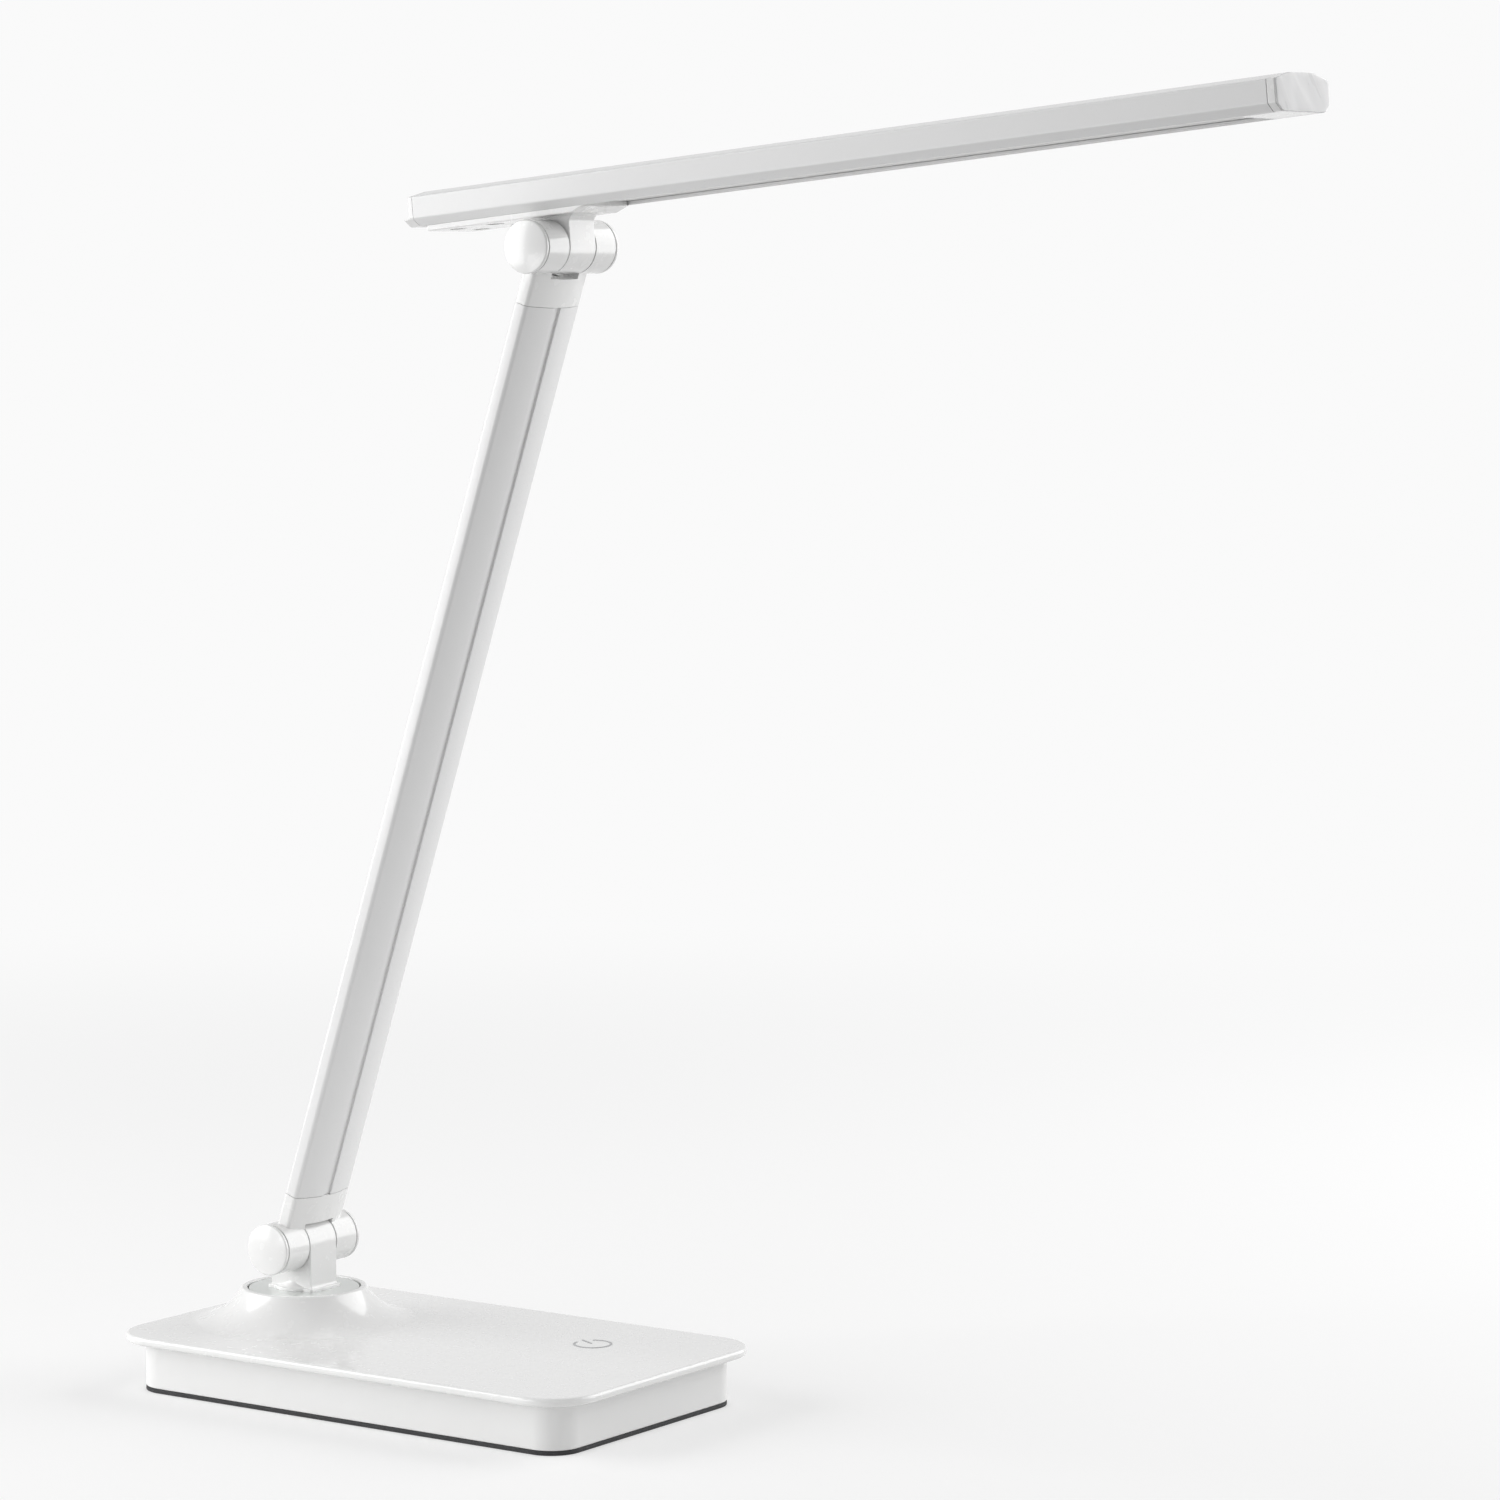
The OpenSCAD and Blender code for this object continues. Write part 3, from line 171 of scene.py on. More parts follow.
def turned(points, rounds=(), steps=turnSteps, leaveOut=lambda a, b: max(a.x, b.x) < same):
    # closed profile of radius and height, turned about Z; rounds lists (point, radius); the profile's
    # edges on the axis, or those that leaveOut names, make no faces
    bm = outlineFace(points)
    for (r, h), radius in rounds:
        roundPoints(bm, radius, 4, lambda co: (co - Vector((r, h, 0))).length < slack)
    bmesh.ops.delete(bm, geom=bm.faces[:], context="FACES_ONLY")
    spare = [e for e in bm.edges if leaveOut(e.verts[0].co, e.verts[1].co)]
    bmesh.ops.delete(bm, geom=spare, context="EDGES")
    bmesh.ops.transform(bm, matrix=profileUp, verts=bm.verts[:])
    bmesh.ops.spin(bm, geom=bm.verts[:] + bm.edges[:], cent=(0, 0, 0), axis=(0, 0, 1), dvec=(0, 0, 0),
                   angle=2 * math.pi, steps=steps, use_merge=True, use_duplicate=False)
    bmesh.ops.remove_doubles(bm, verts=bm.verts[:], dist=same)
    bmesh.ops.recalc_face_normals(bm, faces=bm.faces[:])
    return bm


def rod(radius, low, high, steps=boreSteps):
    return turned([(0, low), (radius, low), (radius, high), (0, high)], steps=steps)


def addTo(bm, other, place=onBase):
    mesh = bpy.data.meshes.new("part")
    other.to_mesh(mesh)
    other.free()
    mesh.transform(place)
    bm.from_mesh(mesh)
    bpy.data.meshes.remove(mesh)


def combine(bm, other, how, place=onBase):
    # joins or cuts one shape with another
    shapes = []
    for source, where in ((bm, onBase), (other, place)):
        mesh = bpy.data.meshes.new("shape")
        source.to_mesh(mesh)
        mesh.transform(where)
        shapes.append(bpy.data.objects.new("shape", mesh))
        bpy.context.scene.collection.objects.link(shapes[-1])
    other.free()
    step = shapes[0].modifiers.new("combine", "BOOLEAN")
    step.operation = how
    step.solver = "EXACT"
    step.object = shapes[1]
    found = shapes[0].evaluated_get(bpy.context.evaluated_depsgraph_get())
    result = bpy.data.meshes.new_from_object(found)
    bm.clear()
    bm.from_mesh(result)
    meshes = [result] + [s.data for s in shapes]
    for shape in shapes:
        bpy.data.objects.remove(shape)
    for mesh in meshes:
        bpy.data.meshes.remove(mesh)
    bmesh.ops.remove_doubles(bm, verts=bm.verts[:], dist=same)


def setDown(name, bm, place, body, slot, material, *nodes, smooth=32):
    # makes the finished piece: metres, its place in its mesh, even shading, body and CAD node; the slot is
    # not used
    bmesh.ops.transform(bm, matrix=Matrix.Scale(mm, 4) @ place, verts=bm.verts[:])
    bmesh.ops.recalc_face_normals(bm, faces=bm.faces[:])
    mesh = bpy.data.meshes.new(name)
    bm.to_mesh(mesh)
    bm.free()
    mesh.shade_smooth()
    mesh.set_sharp_from_angle(angle=math.radians(smooth))
    mesh.materials.append(material)
    piece = bpy.data.objects.new(name, mesh)
    bpy.context.scene.collection.objects.link(piece)
    even = piece.modifiers.new("evenShading", "WEIGHTED_NORMAL")
    even.keep_sharp = True
    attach(piece, body)
    if nodes:
        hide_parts(*nodes)
    print("made", name, len(mesh.polygons), "faces")


# finishes

def node(tree, kind, inputs=None, **settings):
    made = tree.nodes.new(kind)
    for key, value in settings.items():
        setattr(made, key, value)
    for key, value in (inputs or {}).items():
        if isinstance(value, bpy.types.NodeSocket):
            tree.links.new(value, made.inputs[key])
        else:
            made.inputs[key].default_value = value
    return made


def tint(colour, share):
    return (colour[0] * share, colour[1] * share, colour[2] * share, 1)


def startFinish(name, sockets):
    material = bpy.data.materials.new(name)
    material.use_nodes = True
    tree = material.node_tree
    shader = tree.nodes["Principled BSDF"]
    for key, value in sockets.items():
        shader.inputs[key].default_value = value
    where = node(tree, "ShaderNodeTexCoord").outputs["Object"]
    return material, tree, shader, where


def blend(tree, share, first, second):
    mixed = node(tree, "ShaderNodeMix", {"Factor": share, "A": first, "B": second}, data_type="RGBA")
    return mixed.outputs[2]


def span(tree, value, low, high, start=0.0, end=1.0, **settings):
    # takes a value from start..end to low..high
    made = node(tree, "ShaderNodeMapRange", {"Value": value, "From Min": start, "From Max": end,
                                             "To Min": low, "To Max": high}, **settings)
    return made.outputs["Result"]


def bump(tree, height, depth):
    # relief as deep as so many mm
    made = node(tree, "ShaderNodeBump", {"Height": height, "Strength": 1.0, "Distance": depth * mm})
    return made.outputs["Normal"]


def plug(tree, shader, **sources):
    # joins each source to the shader's socket of that name
    sockets = {"colour": "Base Color", "rough": "Roughness", "relief": "Normal"}
    for key, source in sources.items():
        tree.links.new(source, shader.inputs[sockets[key]])


def plainFinish(name, look):
    # colour and roughness drift in soft patches; some finishes also get a fine relief
    material, tree, shader, where = startFinish(name, look.get("sockets", {}))
    patches = node(tree, "ShaderNodeTexNoise", {"Vector": where, "Scale": 1 / look["patch"], "Detail": 3.0})
    grain = node(tree, "ShaderNodeTexNoise", {"Vector": where, "Scale": 1 / look["grain"], "Detail": 2.0})
    drift, rough, roughDrift = look["drift"], look["rough"], 0.15
    plug(tree, shader, colour=blend(tree, patches.outputs["Fac"], tint(look["colour"], 1 - drift),
                                    tint(look["colour"], 1 + drift)),
         rough=span(tree, grain.outputs["Fac"], rough * (1 - roughDrift), rough * (1 + roughDrift), 0.3, 0.7))
    if "relief" in look:
        plug(tree, shader, relief=bump(tree, grain.outputs["Fac"], look["relief"]))
    return material


glossWhite = plainFinish("glossWhite", {
    "colour": (0.84, 0.84, 0.835), "drift": 0.006, "patch": 0.05, "rough": 0.25, "grain": 0.004,
    "sockets": {"IOR": 1.5, "Coat Weight": 0.7, "Coat Roughness": 0.08}})
satinWhite = plainFinish("satinWhite", {
    "colour": (0.82, 0.82, 0.815), "drift": 0.008, "patch": 0.03, "rough": 0.34,
    "grain": 0.0007, "relief": 0.004,
    "sockets": {"IOR": 1.48}})
paintWhite = plainFinish("paintWhite", {
    "colour": (0.80, 0.80, 0.80), "drift": 0.01, "patch": 0.06, "rough": 0.32, "grain": 0.0005,
    "sockets": {"IOR": 1.5, "Coat Weight": 0.6, "Coat Roughness": 0.1}})
discGrey = plainFinish("discGrey", {
    "colour": (0.56, 0.59, 0.57), "drift": 0.01, "patch": 0.02, "rough": 0.07, "grain": 0.003,
    "sockets": {"IOR": 1.5, "Coat Weight": 0.6, "Coat Roughness": 0.03}})
foamRubber = plainFinish("foamRubber", {
    "colour": (0.035, 0.035, 0.037), "drift": 0.25, "patch": 0.004, "rough": 0.8,
    "grain": 0.0006, "relief": 0.12})
symbolInk = plainFinish("symbolInk", {
    "colour": (0.42, 0.42, 0.43), "drift": 0.05, "patch": 0.001, "rough": 0.4,
    "grain": 0.0003, "relief": 0.004})
blackMoulding = plainFinish("blackMoulding", {
    "colour": (0.02, 0.02, 0.021), "drift": 0.1, "patch": 0.003, "rough": 0.45,
    "grain": 0.0004, "relief": 0.01})
zincSteel = plainFinish("zincSteel", {
    "colour": (0.62, 0.62, 0.6), "drift": 0.08, "patch": 0.0015, "rough": 0.3,
    "grain": 0.0004, "relief": 0.003,
    "sockets": {"Metallic": 1.0}})
milledSteel = plainFinish("milledSteel", {
    "colour": (0.45, 0.46, 0.47), "drift": 0.12, "patch": 0.008, "rough": 0.38,
    "grain": 0.0008, "relief": 0.006,
    "sockets": {"Metallic": 1.0}})
frictionFibre = plainFinish("frictionFibre", {
    "colour": (0.16, 0.12, 0.09), "drift": 0.2, "patch": 0.001, "rough": 0.7,
    "grain": 0.0003, "relief": 0.02})
leadSleeve = plainFinish("leadSleeve", {
    "colour": (0.22, 0.22, 0.23), "drift": 0.06, "patch": 0.004, "rough": 0.5,
    "grain": 0.0005, "relief": 0.006})
ledPhosphor = plainFinish("ledPhosphor", {
    "colour": (0.85, 0.66, 0.16), "drift": 0.05, "patch": 0.001, "rough": 0.35,
    "grain": 0.0003, "relief": 0.004})


def boardFinish(name, mask, copper, pitch):
    # solder mask over copper runs; the mask stands up a little over the copper
    material, tree, shader, where = startFinish(name, {"IOR": 1.5, "Coat Weight": 0.3})
    cells = node(tree, "ShaderNodeTexVoronoi", {"Vector": where, "Scale": 1 / pitch}, distance="CHEBYCHEV",
                 feature="F1")
    runs = span(tree, cells.outputs["Distance"], 0.0, 1.0, 0.30, 0.34)
    plug(tree, shader, colour=blend(tree, runs, tint(copper, 1), tint(mask, 1)),
         rough=span(tree, cells.outputs["Distance"], 0.3, 0.5), relief=bump(tree, runs, 0.02))
    return material


greenBoard = boardFinish("greenBoard", (0.02, 0.13, 0.05), (0.03, 0.2, 0.08), 0.003)
whiteBoard = boardFinish("whiteBoard", (0.8, 0.8, 0.78), (0.7, 0.7, 0.68), 0.004)


def pearlWithPaintedSheen():
    # milky moulding whose colour carries soft diagonal streaks of painted highlight, standing in for rippled
    # reflections on the end face
    material, tree, shader, where = startFinish("pearlPaintedSheenWhite", {
        "IOR": 1.5, "Specular IOR Level": 0.3, "Subsurface Weight": 0.25,
        "Subsurface Radius": (0.002, 0.002, 0.002), "Subsurface Scale": 1.0})
    turnedWhere = node(tree, "ShaderNodeMapping", {"Vector": where, "Rotation": (math.radians(34), 0, 0),
                                                  "Scale": (1.0, 1.0, 3.6)}, vector_type="TEXTURE")
    paintedSheenNoise = node(tree, "ShaderNodeTexNoise", {"Vector": turnedWhere.outputs["Vector"], "Scale": 170.0,
                                                "Detail": 2.0, "Distortion": 0.4})
    paintedSheenShare = paintedSheenNoise.outputs["Fac"]
    # painted highlight: the streaks lighten and darken the colour as the end face's reflections would
    plug(tree, shader, colour=blend(tree, paintedSheenShare, (0.50, 0.50, 0.51, 1), (0.97, 0.97, 0.97, 1)),
         rough=span(tree, paintedSheenShare, 0.18, 0.4), relief=bump(tree, paintedSheenShare, 0.03))
    return material


def opalFinish():
    # milky sheet with fine ribs along the light bar
    material, tree, shader, where = startFinish("opalWhite", {
        "IOR": 1.49, "Subsurface Weight": 0.3, "Subsurface Radius": (0.004, 0.004, 0.004),
        "Subsurface Scale": 1.0})
    ribs = node(tree, "ShaderNodeTexWave", {"Vector": where, "Scale": 160.0, "Distortion": 0.2},
                bands_direction="Y")
    cloud = node(tree, "ShaderNodeTexNoise", {"Vector": where, "Scale": 30.0}).outputs["Fac"]
    plug(tree, shader, colour=blend(tree, cloud, (0.80, 0.80, 0.79, 1), (0.86, 0.86, 0.85, 1)),
         rough=span(tree, cloud, 0.3, 0.4), relief=bump(tree, ribs.outputs["Fac"], 0.02))
    return material


pearlPaintedSheenWhite = pearlWithPaintedSheen()
opalWhite = opalFinish()
print("finishes made")

# base

cover = {
    "corner": 18, "top": 20.7, "plate": 3, "edge": 1.1,  # plate with its rounded rim
    "lip": 21.9, "lipWidth": 1.9, "lipRound": 0.45, "seat": 30.1,  # lip round the swivel disc
    "flare": 23.5, "foot": 39.2, "footBlend": 1.0, "footIn": 1.6, "wall": 2.4,  # hollow flare of the neck
    "bearing": 9, "bore": 5.05,
    "rib": 1.6, "ribDepth": 3, "ribGap": 2.7, "ribCorner": 8.5,  # rib that locates in the tray
    "inletGap": 1, "inletOver": 9, "inletCorner": 0.2,  # the rib's opening for the power inlet
    "boss": 3.8, "bossHole": 1.55, "bossLow": 6.8, "bossDeep": 7.5, "bossIn": 9,
    "post": 2.6, "postHole": 1.05, "postLow": 14.5, "postDeep": 3,
    "posts": ((-18, -27), (-18, 3), (30, -27), (30, 3)),
    "sunk": 0.2,  # how far rib and bosses reach into the plate
    "wideFace": 1000,  # mm2; the plate's two level faces are larger and are laid anew round the neck
}


def flareArc(radius, foot, lip, lipTop, level, steps):
    # hollow curve from the neck's lip down to the plate
    run, rise = foot - lip, lipTop - level
    chord = math.hypot(run, rise)
    back = math.sqrt(radius * radius - chord * chord / 4)
    cx = (lip + foot) / 2 + back * rise / chord
    cy = (lipTop + level) / 2 + back * run / chord
    start = math.degrees(math.atan2(lipTop - cy, lip - cx)) % 360
    end = math.degrees(math.atan2(level - cy, foot - cx)) % 360
    return arc(cx, cy, radius, start, end, steps), (cx, cy)


def coverNeck(top, under, lipTop):
    c = cover
    curve, (cx, cy) = flareArc(c["flare"], c["foot"], c["lip"], lipTop, top, 16)
    inner = c["flare"] + c["wall"]
    roof = c["seat"] - c["wall"]
    innerFoot = c["foot"] - c["footIn"]
    innerCurve = arc(cx, cy, inner, 180 + math.degrees(math.asin((cy - roof) / inner)),
                     180 + math.degrees(math.acos((cx - innerFoot) / inner)), 12)
    points = curve + [(c["foot"] + c["footBlend"], top), (innerFoot, under)] + innerCurve[::-1] + [
        (c["bearing"], roof), (c["bearing"], under), (c["bore"], under), (c["bore"], c["seat"]),
        (c["lip"] - c["lipWidth"], c["seat"]), (c["lip"] - c["lipWidth"], lipTop)]
    rounds = [((c["foot"], top), c["footBlend"]), ((c["lip"], lipTop), c["lipRound"]),
              ((c["lip"] - c["lipWidth"], lipTop), c["lipRound"])]
    # the edge that would close the neck where it meets the plate makes no faces
    return turned(points, rounds, wideSteps,
                  lambda a, b: abs(abs(a.y - b.y) - c["plate"]) < same and a.x > c["lip"])


def coverRib(trayLow, trayHigh, under):
    c = cover
    gap = Vector((c["ribGap"], c["ribGap"], 0))
    ribLow = Vector((trayLow.x, trayLow.y, under - c["ribDepth"])) + gap
    ribHigh = Vector((trayHigh.x, trayHigh.y, under + c["sunk"])) - gap
    width = Vector((c["rib"], c["rib"], -past))
    rib = slab(ribLow, ribHigh, c["ribCorner"])
    combine(rib, slab(ribLow + width, ribHigh - width, c["ribCorner"] - c["rib"]), "DIFFERENCE")
    inletLow, inletHigh = boxOf("power_inlet")
    room = Vector((c["inletGap"], c["inletGap"], c["inletGap"]))
    above = Vector((0, 0, c["inletOver"]))
    combine(rib, slab(inletLow - room, inletHigh + room + above, c["inletCorner"]), "DIFFERENCE")
    return rib


def makeCover():
    c = cover
    low, high = boxOf("base_cover")
    trayLow, trayHigh = boxOf("base_tray")
    top, under = c["top"], c["top"] - c["plate"]
    bm = slab(Vector((low.x, low.y, under)), Vector((high.x, high.y, top)), c["corner"])
    roundEdges(bm, c["edge"], 5)
    wide = [f for f in bm.faces if abs(f.normal.z) > levelFace and f.calc_area() > c["wideFace"]]
    bmesh.ops.delete(bm, geom=wide, context="FACES_ONLY")
    addTo(bm, coverNeck(top, under, high.z), onTurret)
    for level, up in ((top, 1), (under, -1)):
        rims = [e for e in bm.edges if e.is_boundary and all(abs(v.co.z - level) < slack for v in e.verts)]
        bmesh.ops.triangle_fill(bm, edges=rims, use_beauty=True, normal=(0, 0, up))
    addTo(bm, coverRib(trayLow, trayHigh, under))
    reach = trayHigh.x - c["bossIn"], trayHigh.y - c["bossIn"]
    bosses = [("boss", i * reach[0], j * reach[1]) for i in (-1, 1) for j in (-1, 1)]
    bosses += [("post", x, y) for x, y in c["posts"]]
    for kind, x, y in bosses:
        outer, hole, start = c[kind], c[kind + "Hole"], c[kind + "Low"]
        floor, root = start + c[kind + "Deep"], under + c["sunk"]
        boss = turned([(hole, start), (outer, start), (outer, root), (0, root), (0, floor), (hole, floor)],
                      steps=smallSteps)
        addTo(bm, boss, Matrix.Translation((x, y, 0)))
    setDown("coverPiece", bm, onBase, "base", "white_gloss", glossWhite, "base_cover")


tray = {"corner": 11.2, "wall": 2.4, "floor": 2.2, "edge": 0.5, "inletHole": 4.8, "inletReach": 5}


def makeTray():
    low, high = boxOf("base_tray")
    bm = slab(low, high, tray["corner"])
    top = [f for f in bm.faces if f.normal.z > levelFace]
    bmesh.ops.inset_region(bm, faces=top, thickness=tray["wall"], use_even_offset=True)
    pull(bm, top, (0, 0, low.z + tray["floor"] - high.z))
    roundEdges(bm, tray["edge"], 3)
    inletLow, inletHigh = boxOf("power_inlet")
    centre = (inletLow + inletHigh) / 2
    across = Matrix.Translation((low.x, 0, centre.z)) @ Matrix.Rotation(math.pi / 2, 4, "Y")
    combine(bm, rod(tray["inletHole"], -tray["inletReach"], tray["inletReach"]), "DIFFERENCE", across)
    setDown("trayPiece", bm, onBase, "base", "white_satin", satinWhite, "base_tray")


pad = {"edge": 0.35}


def makePad():
    low, high = boxOf("anti_slip_pad")
    bm = slab(low, high, tray["corner"])
    roundEdges(bm, pad["edge"], 2)
    setDown("padPiece", bm, onBase, "base", "dark_rubber", foamRubber, "anti_slip_pad")


symbol = {"x": 51.7, "y": 22.8, "turn": 155, "radius": 6.8, "line": 0.75, "bar": 7, "opening": 58,
          "thick": 0.12, "steps": 56, "barEnd": 0.98}


def makeSymbol():
    s = symbol
    level = cover["top"]
    bm = outlineFace([(s["radius"] - s["line"], 0), (s["radius"], 0), (s["radius"], s["thick"]),
                      (s["radius"] - s["line"], s["thick"])])
    bmesh.ops.transform(bm, matrix=profileUp, verts=bm.verts[:])
    bmesh.ops.spin(bm, geom=bm.verts[:] + bm.edges[:] + bm.faces[:], cent=(0, 0, 0), axis=(0, 0, 1),
                   dvec=(0, 0, 0), angle=math.radians(360 - s["opening"]), steps=s["steps"],
                   use_merge=False, use_duplicate=False)
    turn = Matrix.Rotation(math.radians(s["opening"] / 2), 4, "Z")
    bmesh.ops.transform(bm, matrix=turn, verts=bm.verts[:])
    half = s["line"] / 2
    stroke = slab(Vector((s["line"], -half, 0)), Vector((s["line"] + s["bar"], half, s["thick"])),
                  half * s["barEnd"], 4)
    addTo(bm, stroke)
    place = Matrix.Translation((s["x"], s["y"], level)) @ Matrix.Rotation(math.radians(s["turn"]), 4, "Z")
    setDown("symbolPiece", bm, place, "base", "symbol_grey", symbolInk, "touch_symbol")


disc = {"bore": 5.05, "round": 0.4}


def makeDisc():
    low, high = boxOf("swivel_disc")
    radius = (high.x - low.x) / 2
    bm = turned([(disc["bore"], low.z), (radius, low.z), (radius, high.z), (disc["bore"], high.z)],
                [((radius, high.z), disc["round"])], wideSteps)
    setDown("discPiece", bm, onTurret, "turret", "swivel_gloss", discGrey, "swivel_disc")


makeCover()
makeTray()
makePad()
makeSymbol()
makeDisc()

# turret and hinges

hinge = {
    "barrel": 9, "tongue": 14.24, "tongueRound": 0.25, "bore": 3.05,
    "inner": 7.6, "slot": 7.55, "slotFloor": 9.9, "outer": 18.5, "spigot": 7, "spigotRoom": 7.15,
    "recess": 16.0, "pocket": 5.4, "pocketFloor": 12.7, "knuckleRound": 0.15, "spigotRound": 0.2,
    "capIn": 16.3, "capRim": 19.0, "capEdge": 20.2, "capTop": 21.2, "rimRound": 0.2, "capRound": 0.45,
    "root": 0.5,  # how far tongue or block reaches into the plate it is joined to
}
turret = {
    "footHigh": 1, "footLong": 20.2, "footWide": 16.5, "footCorner": 1.1, "footRound": 0.3, "fillet": 0.9,
    "boss": 10.5, "bossLift": 0.02, "bossRound": 0.25, "flare": 3.9,
    "spindle": 5.05, "spindleDeep": 7, "wireWay": 1.7, "wireDeep": 11,
}


def makeTurret():
    t, h = turret, hinge
    low, high = boxOf("turret")
    foot = low.z + t["footHigh"]
    r, f = h["barrel"], t["fillet"]
    side = arc(0, lowerAxis.z, r, 0, 180, boreSteps) + arc(-r - f, foot + f, f, 0, -90, 5) \
        + [(-r - f, foot - h["root"]), (r + f, foot - h["root"])] + arc(r + f, foot + f, f, 270, 180, 5)
    half = h["tongue"] / 2
    bm = prism(side, -half, half)
    roundEdges(bm, h["tongueRound"], 4, lambda a, b: abs(a.z - b.z) < same)
    bmesh.ops.transform(bm, matrix=profileUp, verts=bm.verts[:])
    base = slab(Vector((-t["footLong"] / 2, -t["footWide"] / 2, low.z)),
                Vector((t["footLong"] / 2, t["footWide"] / 2, foot)), t["footCorner"], 5)
    roundEdges(base, t["footRound"], 3, lambda a, b: min(a.z, b.z) > foot - slack)
    combine(bm, base, "UNION")
    start, top = low.z + t["bossLift"], foot + t["flare"]
    curve = arc(t["boss"], top, t["flare"], 270, 180, 12)
    boss = turned([(0, start), (t["boss"], start), (t["boss"], foot)] + curve[1:] + [(0, top)],
                  [((t["boss"], foot), t["bossRound"])])
    combine(bm, boss, "UNION")
    axis, bottom = Matrix.Translation((0, 0, lowerAxis.z)), Matrix.Translation((0, 0, low.z))
    combine(bm, rod(h["bore"], -through, through), "DIFFERENCE", axis @ sideways)
    combine(bm, rod(t["spindle"], -past, t["spindleDeep"]), "DIFFERENCE", bottom)
    combine(bm, rod(t["wireWay"], past, t["wireDeep"]), "DIFFERENCE", bottom)
    setDown("turretPiece", bm, onTurret, "turret", "white_gloss", glossWhite, "turret")


arm = {
    "width": 30, "thick": 9.8, "side": 5, "corner": 1.2, "wall": 1.6, "rim": 0.12,
    "groove": 3.3, "grooveDeep": 0.8, "grooveRound": 0.2,
    "lowerSeam": 20.2, "upperSeam": 19.9, "seamGap": 0.15, "seamRound": 0.15,
    "slotRound": 0.3, "slotStart": 1,
    "plug": 24, "plugGap": 0.15, "plugSunk": 0.4, "leadWay": 1.7,
    "screwOut": 8, "screwHole": 2.5, "screwDeep": 12, "seat": 2.6, "seatFloor": -1.8,
    "beside": 0.1,  # edges no farther than this from the slot or the tube's face count as lying on it
}


def armOutline(inset=0, grooved=False):
    # flat sides, domed front and back; x is the thickness and y the width
    a = arm
    rise = (a["thick"] - a["side"]) / 2
    radius = (a["width"] ** 2 / 4 + rise ** 2) / (2 * rise)
    centre = a["thick"] / 2 - radius
    half = a["width"] / 2 - inset
    reach = math.degrees(math.asin(half / (radius - inset)))
    front = arc(centre, 0, radius - inset, -reach, reach, 24)
    if grooved:
        edge = math.degrees(math.asin(a["groove"] / 2 / radius))
        floor = a["thick"] / 2 - a["grooveDeep"]
        front = arc(centre, 0, radius, -reach, -edge, 11) \
            + [(floor, -a["groove"] / 2), (floor, a["groove"] / 2)] + arc(centre, 0, radius, edge, reach, 11)
    return front + [(-x, -y) for x, y in front]


def armCorner(co):
    return abs(co.y) > arm["width"] / 2 - slack


def makeYoke(name, seam, place, cadNode):
    h, a = hinge, arm
    bm = prism(armOutline(), 0, seam, a["corner"], 4, armCorner)
    slot = slab(Vector((-through, -h["slot"], -through)),
                Vector((through, h["slot"], h["slotFloor"])), crisp, 1)
    combine(bm, slot, "DIFFERENCE")
    combine(bm, rod(a["leadWay"], -past, seam + past), "DIFFERENCE")
    roundEdges(bm, a["slotRound"], 2, lambda p, q: max(abs(p.y), abs(q.y)) < h["slot"] + a["beside"]
               and min(p.z, q.z) > a["slotStart"], sharper=50)
    roundEdges(bm, a["seamRound"], 2, lambda p, q: min(p.z, q.z) > seam - slack, sharper=50)
    for side in (1, -1):
        knuckle = turned([(h["bore"], h["inner"]), (h["barrel"], h["inner"]), (h["barrel"], h["outer"]),
                          (h["spigotRoom"], h["outer"]), (h["spigotRoom"], h["recess"]),
                          (h["pocket"], h["recess"]), (h["pocket"], h["pocketFloor"]),
                          (h["bore"], h["pocketFloor"])],
                         [((h["barrel"], h["inner"]), h["knuckleRound"]),
                          ((h["barrel"], h["outer"]), h["knuckleRound"]),
                          ((h["spigotRoom"], h["outer"]), h["spigotRound"])])
        combine(bm, knuckle, "UNION", toSide(side))
    insert = prism(armOutline(a["wall"] + a["plugGap"]), seam - a["plugSunk"], seam + a["plug"])
    for y in (-a["screwOut"], a["screwOut"]):
        seat = Matrix.Translation((a["seatFloor"], y, seam + a["plug"] / 2)) @ towardsBack
        combine(insert, rod(a["seat"], 0, a["thick"]), "DIFFERENCE", seat)
    combine(insert, rod(a["leadWay"], seam - past, seam + a["plug"] + past), "DIFFERENCE")
    addTo(bm, insert)
    setDown(name, bm, place, "arm", "white_gloss", glossWhite, cadNode)


def makeTube():
    a = arm
    ends = a["lowerSeam"] + a["seamGap"], armLine.length - a["upperSeam"] - a["seamGap"]
    bm = outlineFace(armOutline(grooved=True), ends[0])
    roundPoints(bm, a["corner"], 4, armCorner)
    roundPoints(bm, a["grooveRound"], 2, lambda co: abs(abs(co.y) - a["groove"] / 2) < slack
                and abs(co.x) > a["thick"] / 2 - a["beside"])
    ringPrism(bm, armOutline(a["wall"]), *ends)
    roundRims(bm, a["rim"], ends)
    screws = a["plug"] / 2 - a["seamGap"]
    for z in (ends[0] + screws, ends[1] - screws):
        for y in (-a["screwOut"], a["screwOut"]):
            hole = Matrix.Translation((0, y, z)) @ towardsBack
            combine(bm, rod(a["screwHole"], 0, a["screwDeep"], smallSteps), "DIFFERENCE", hole)
    setDown("tubePiece", bm, onArm, "arm", "white_paint", paintWhite, "arm_tube")


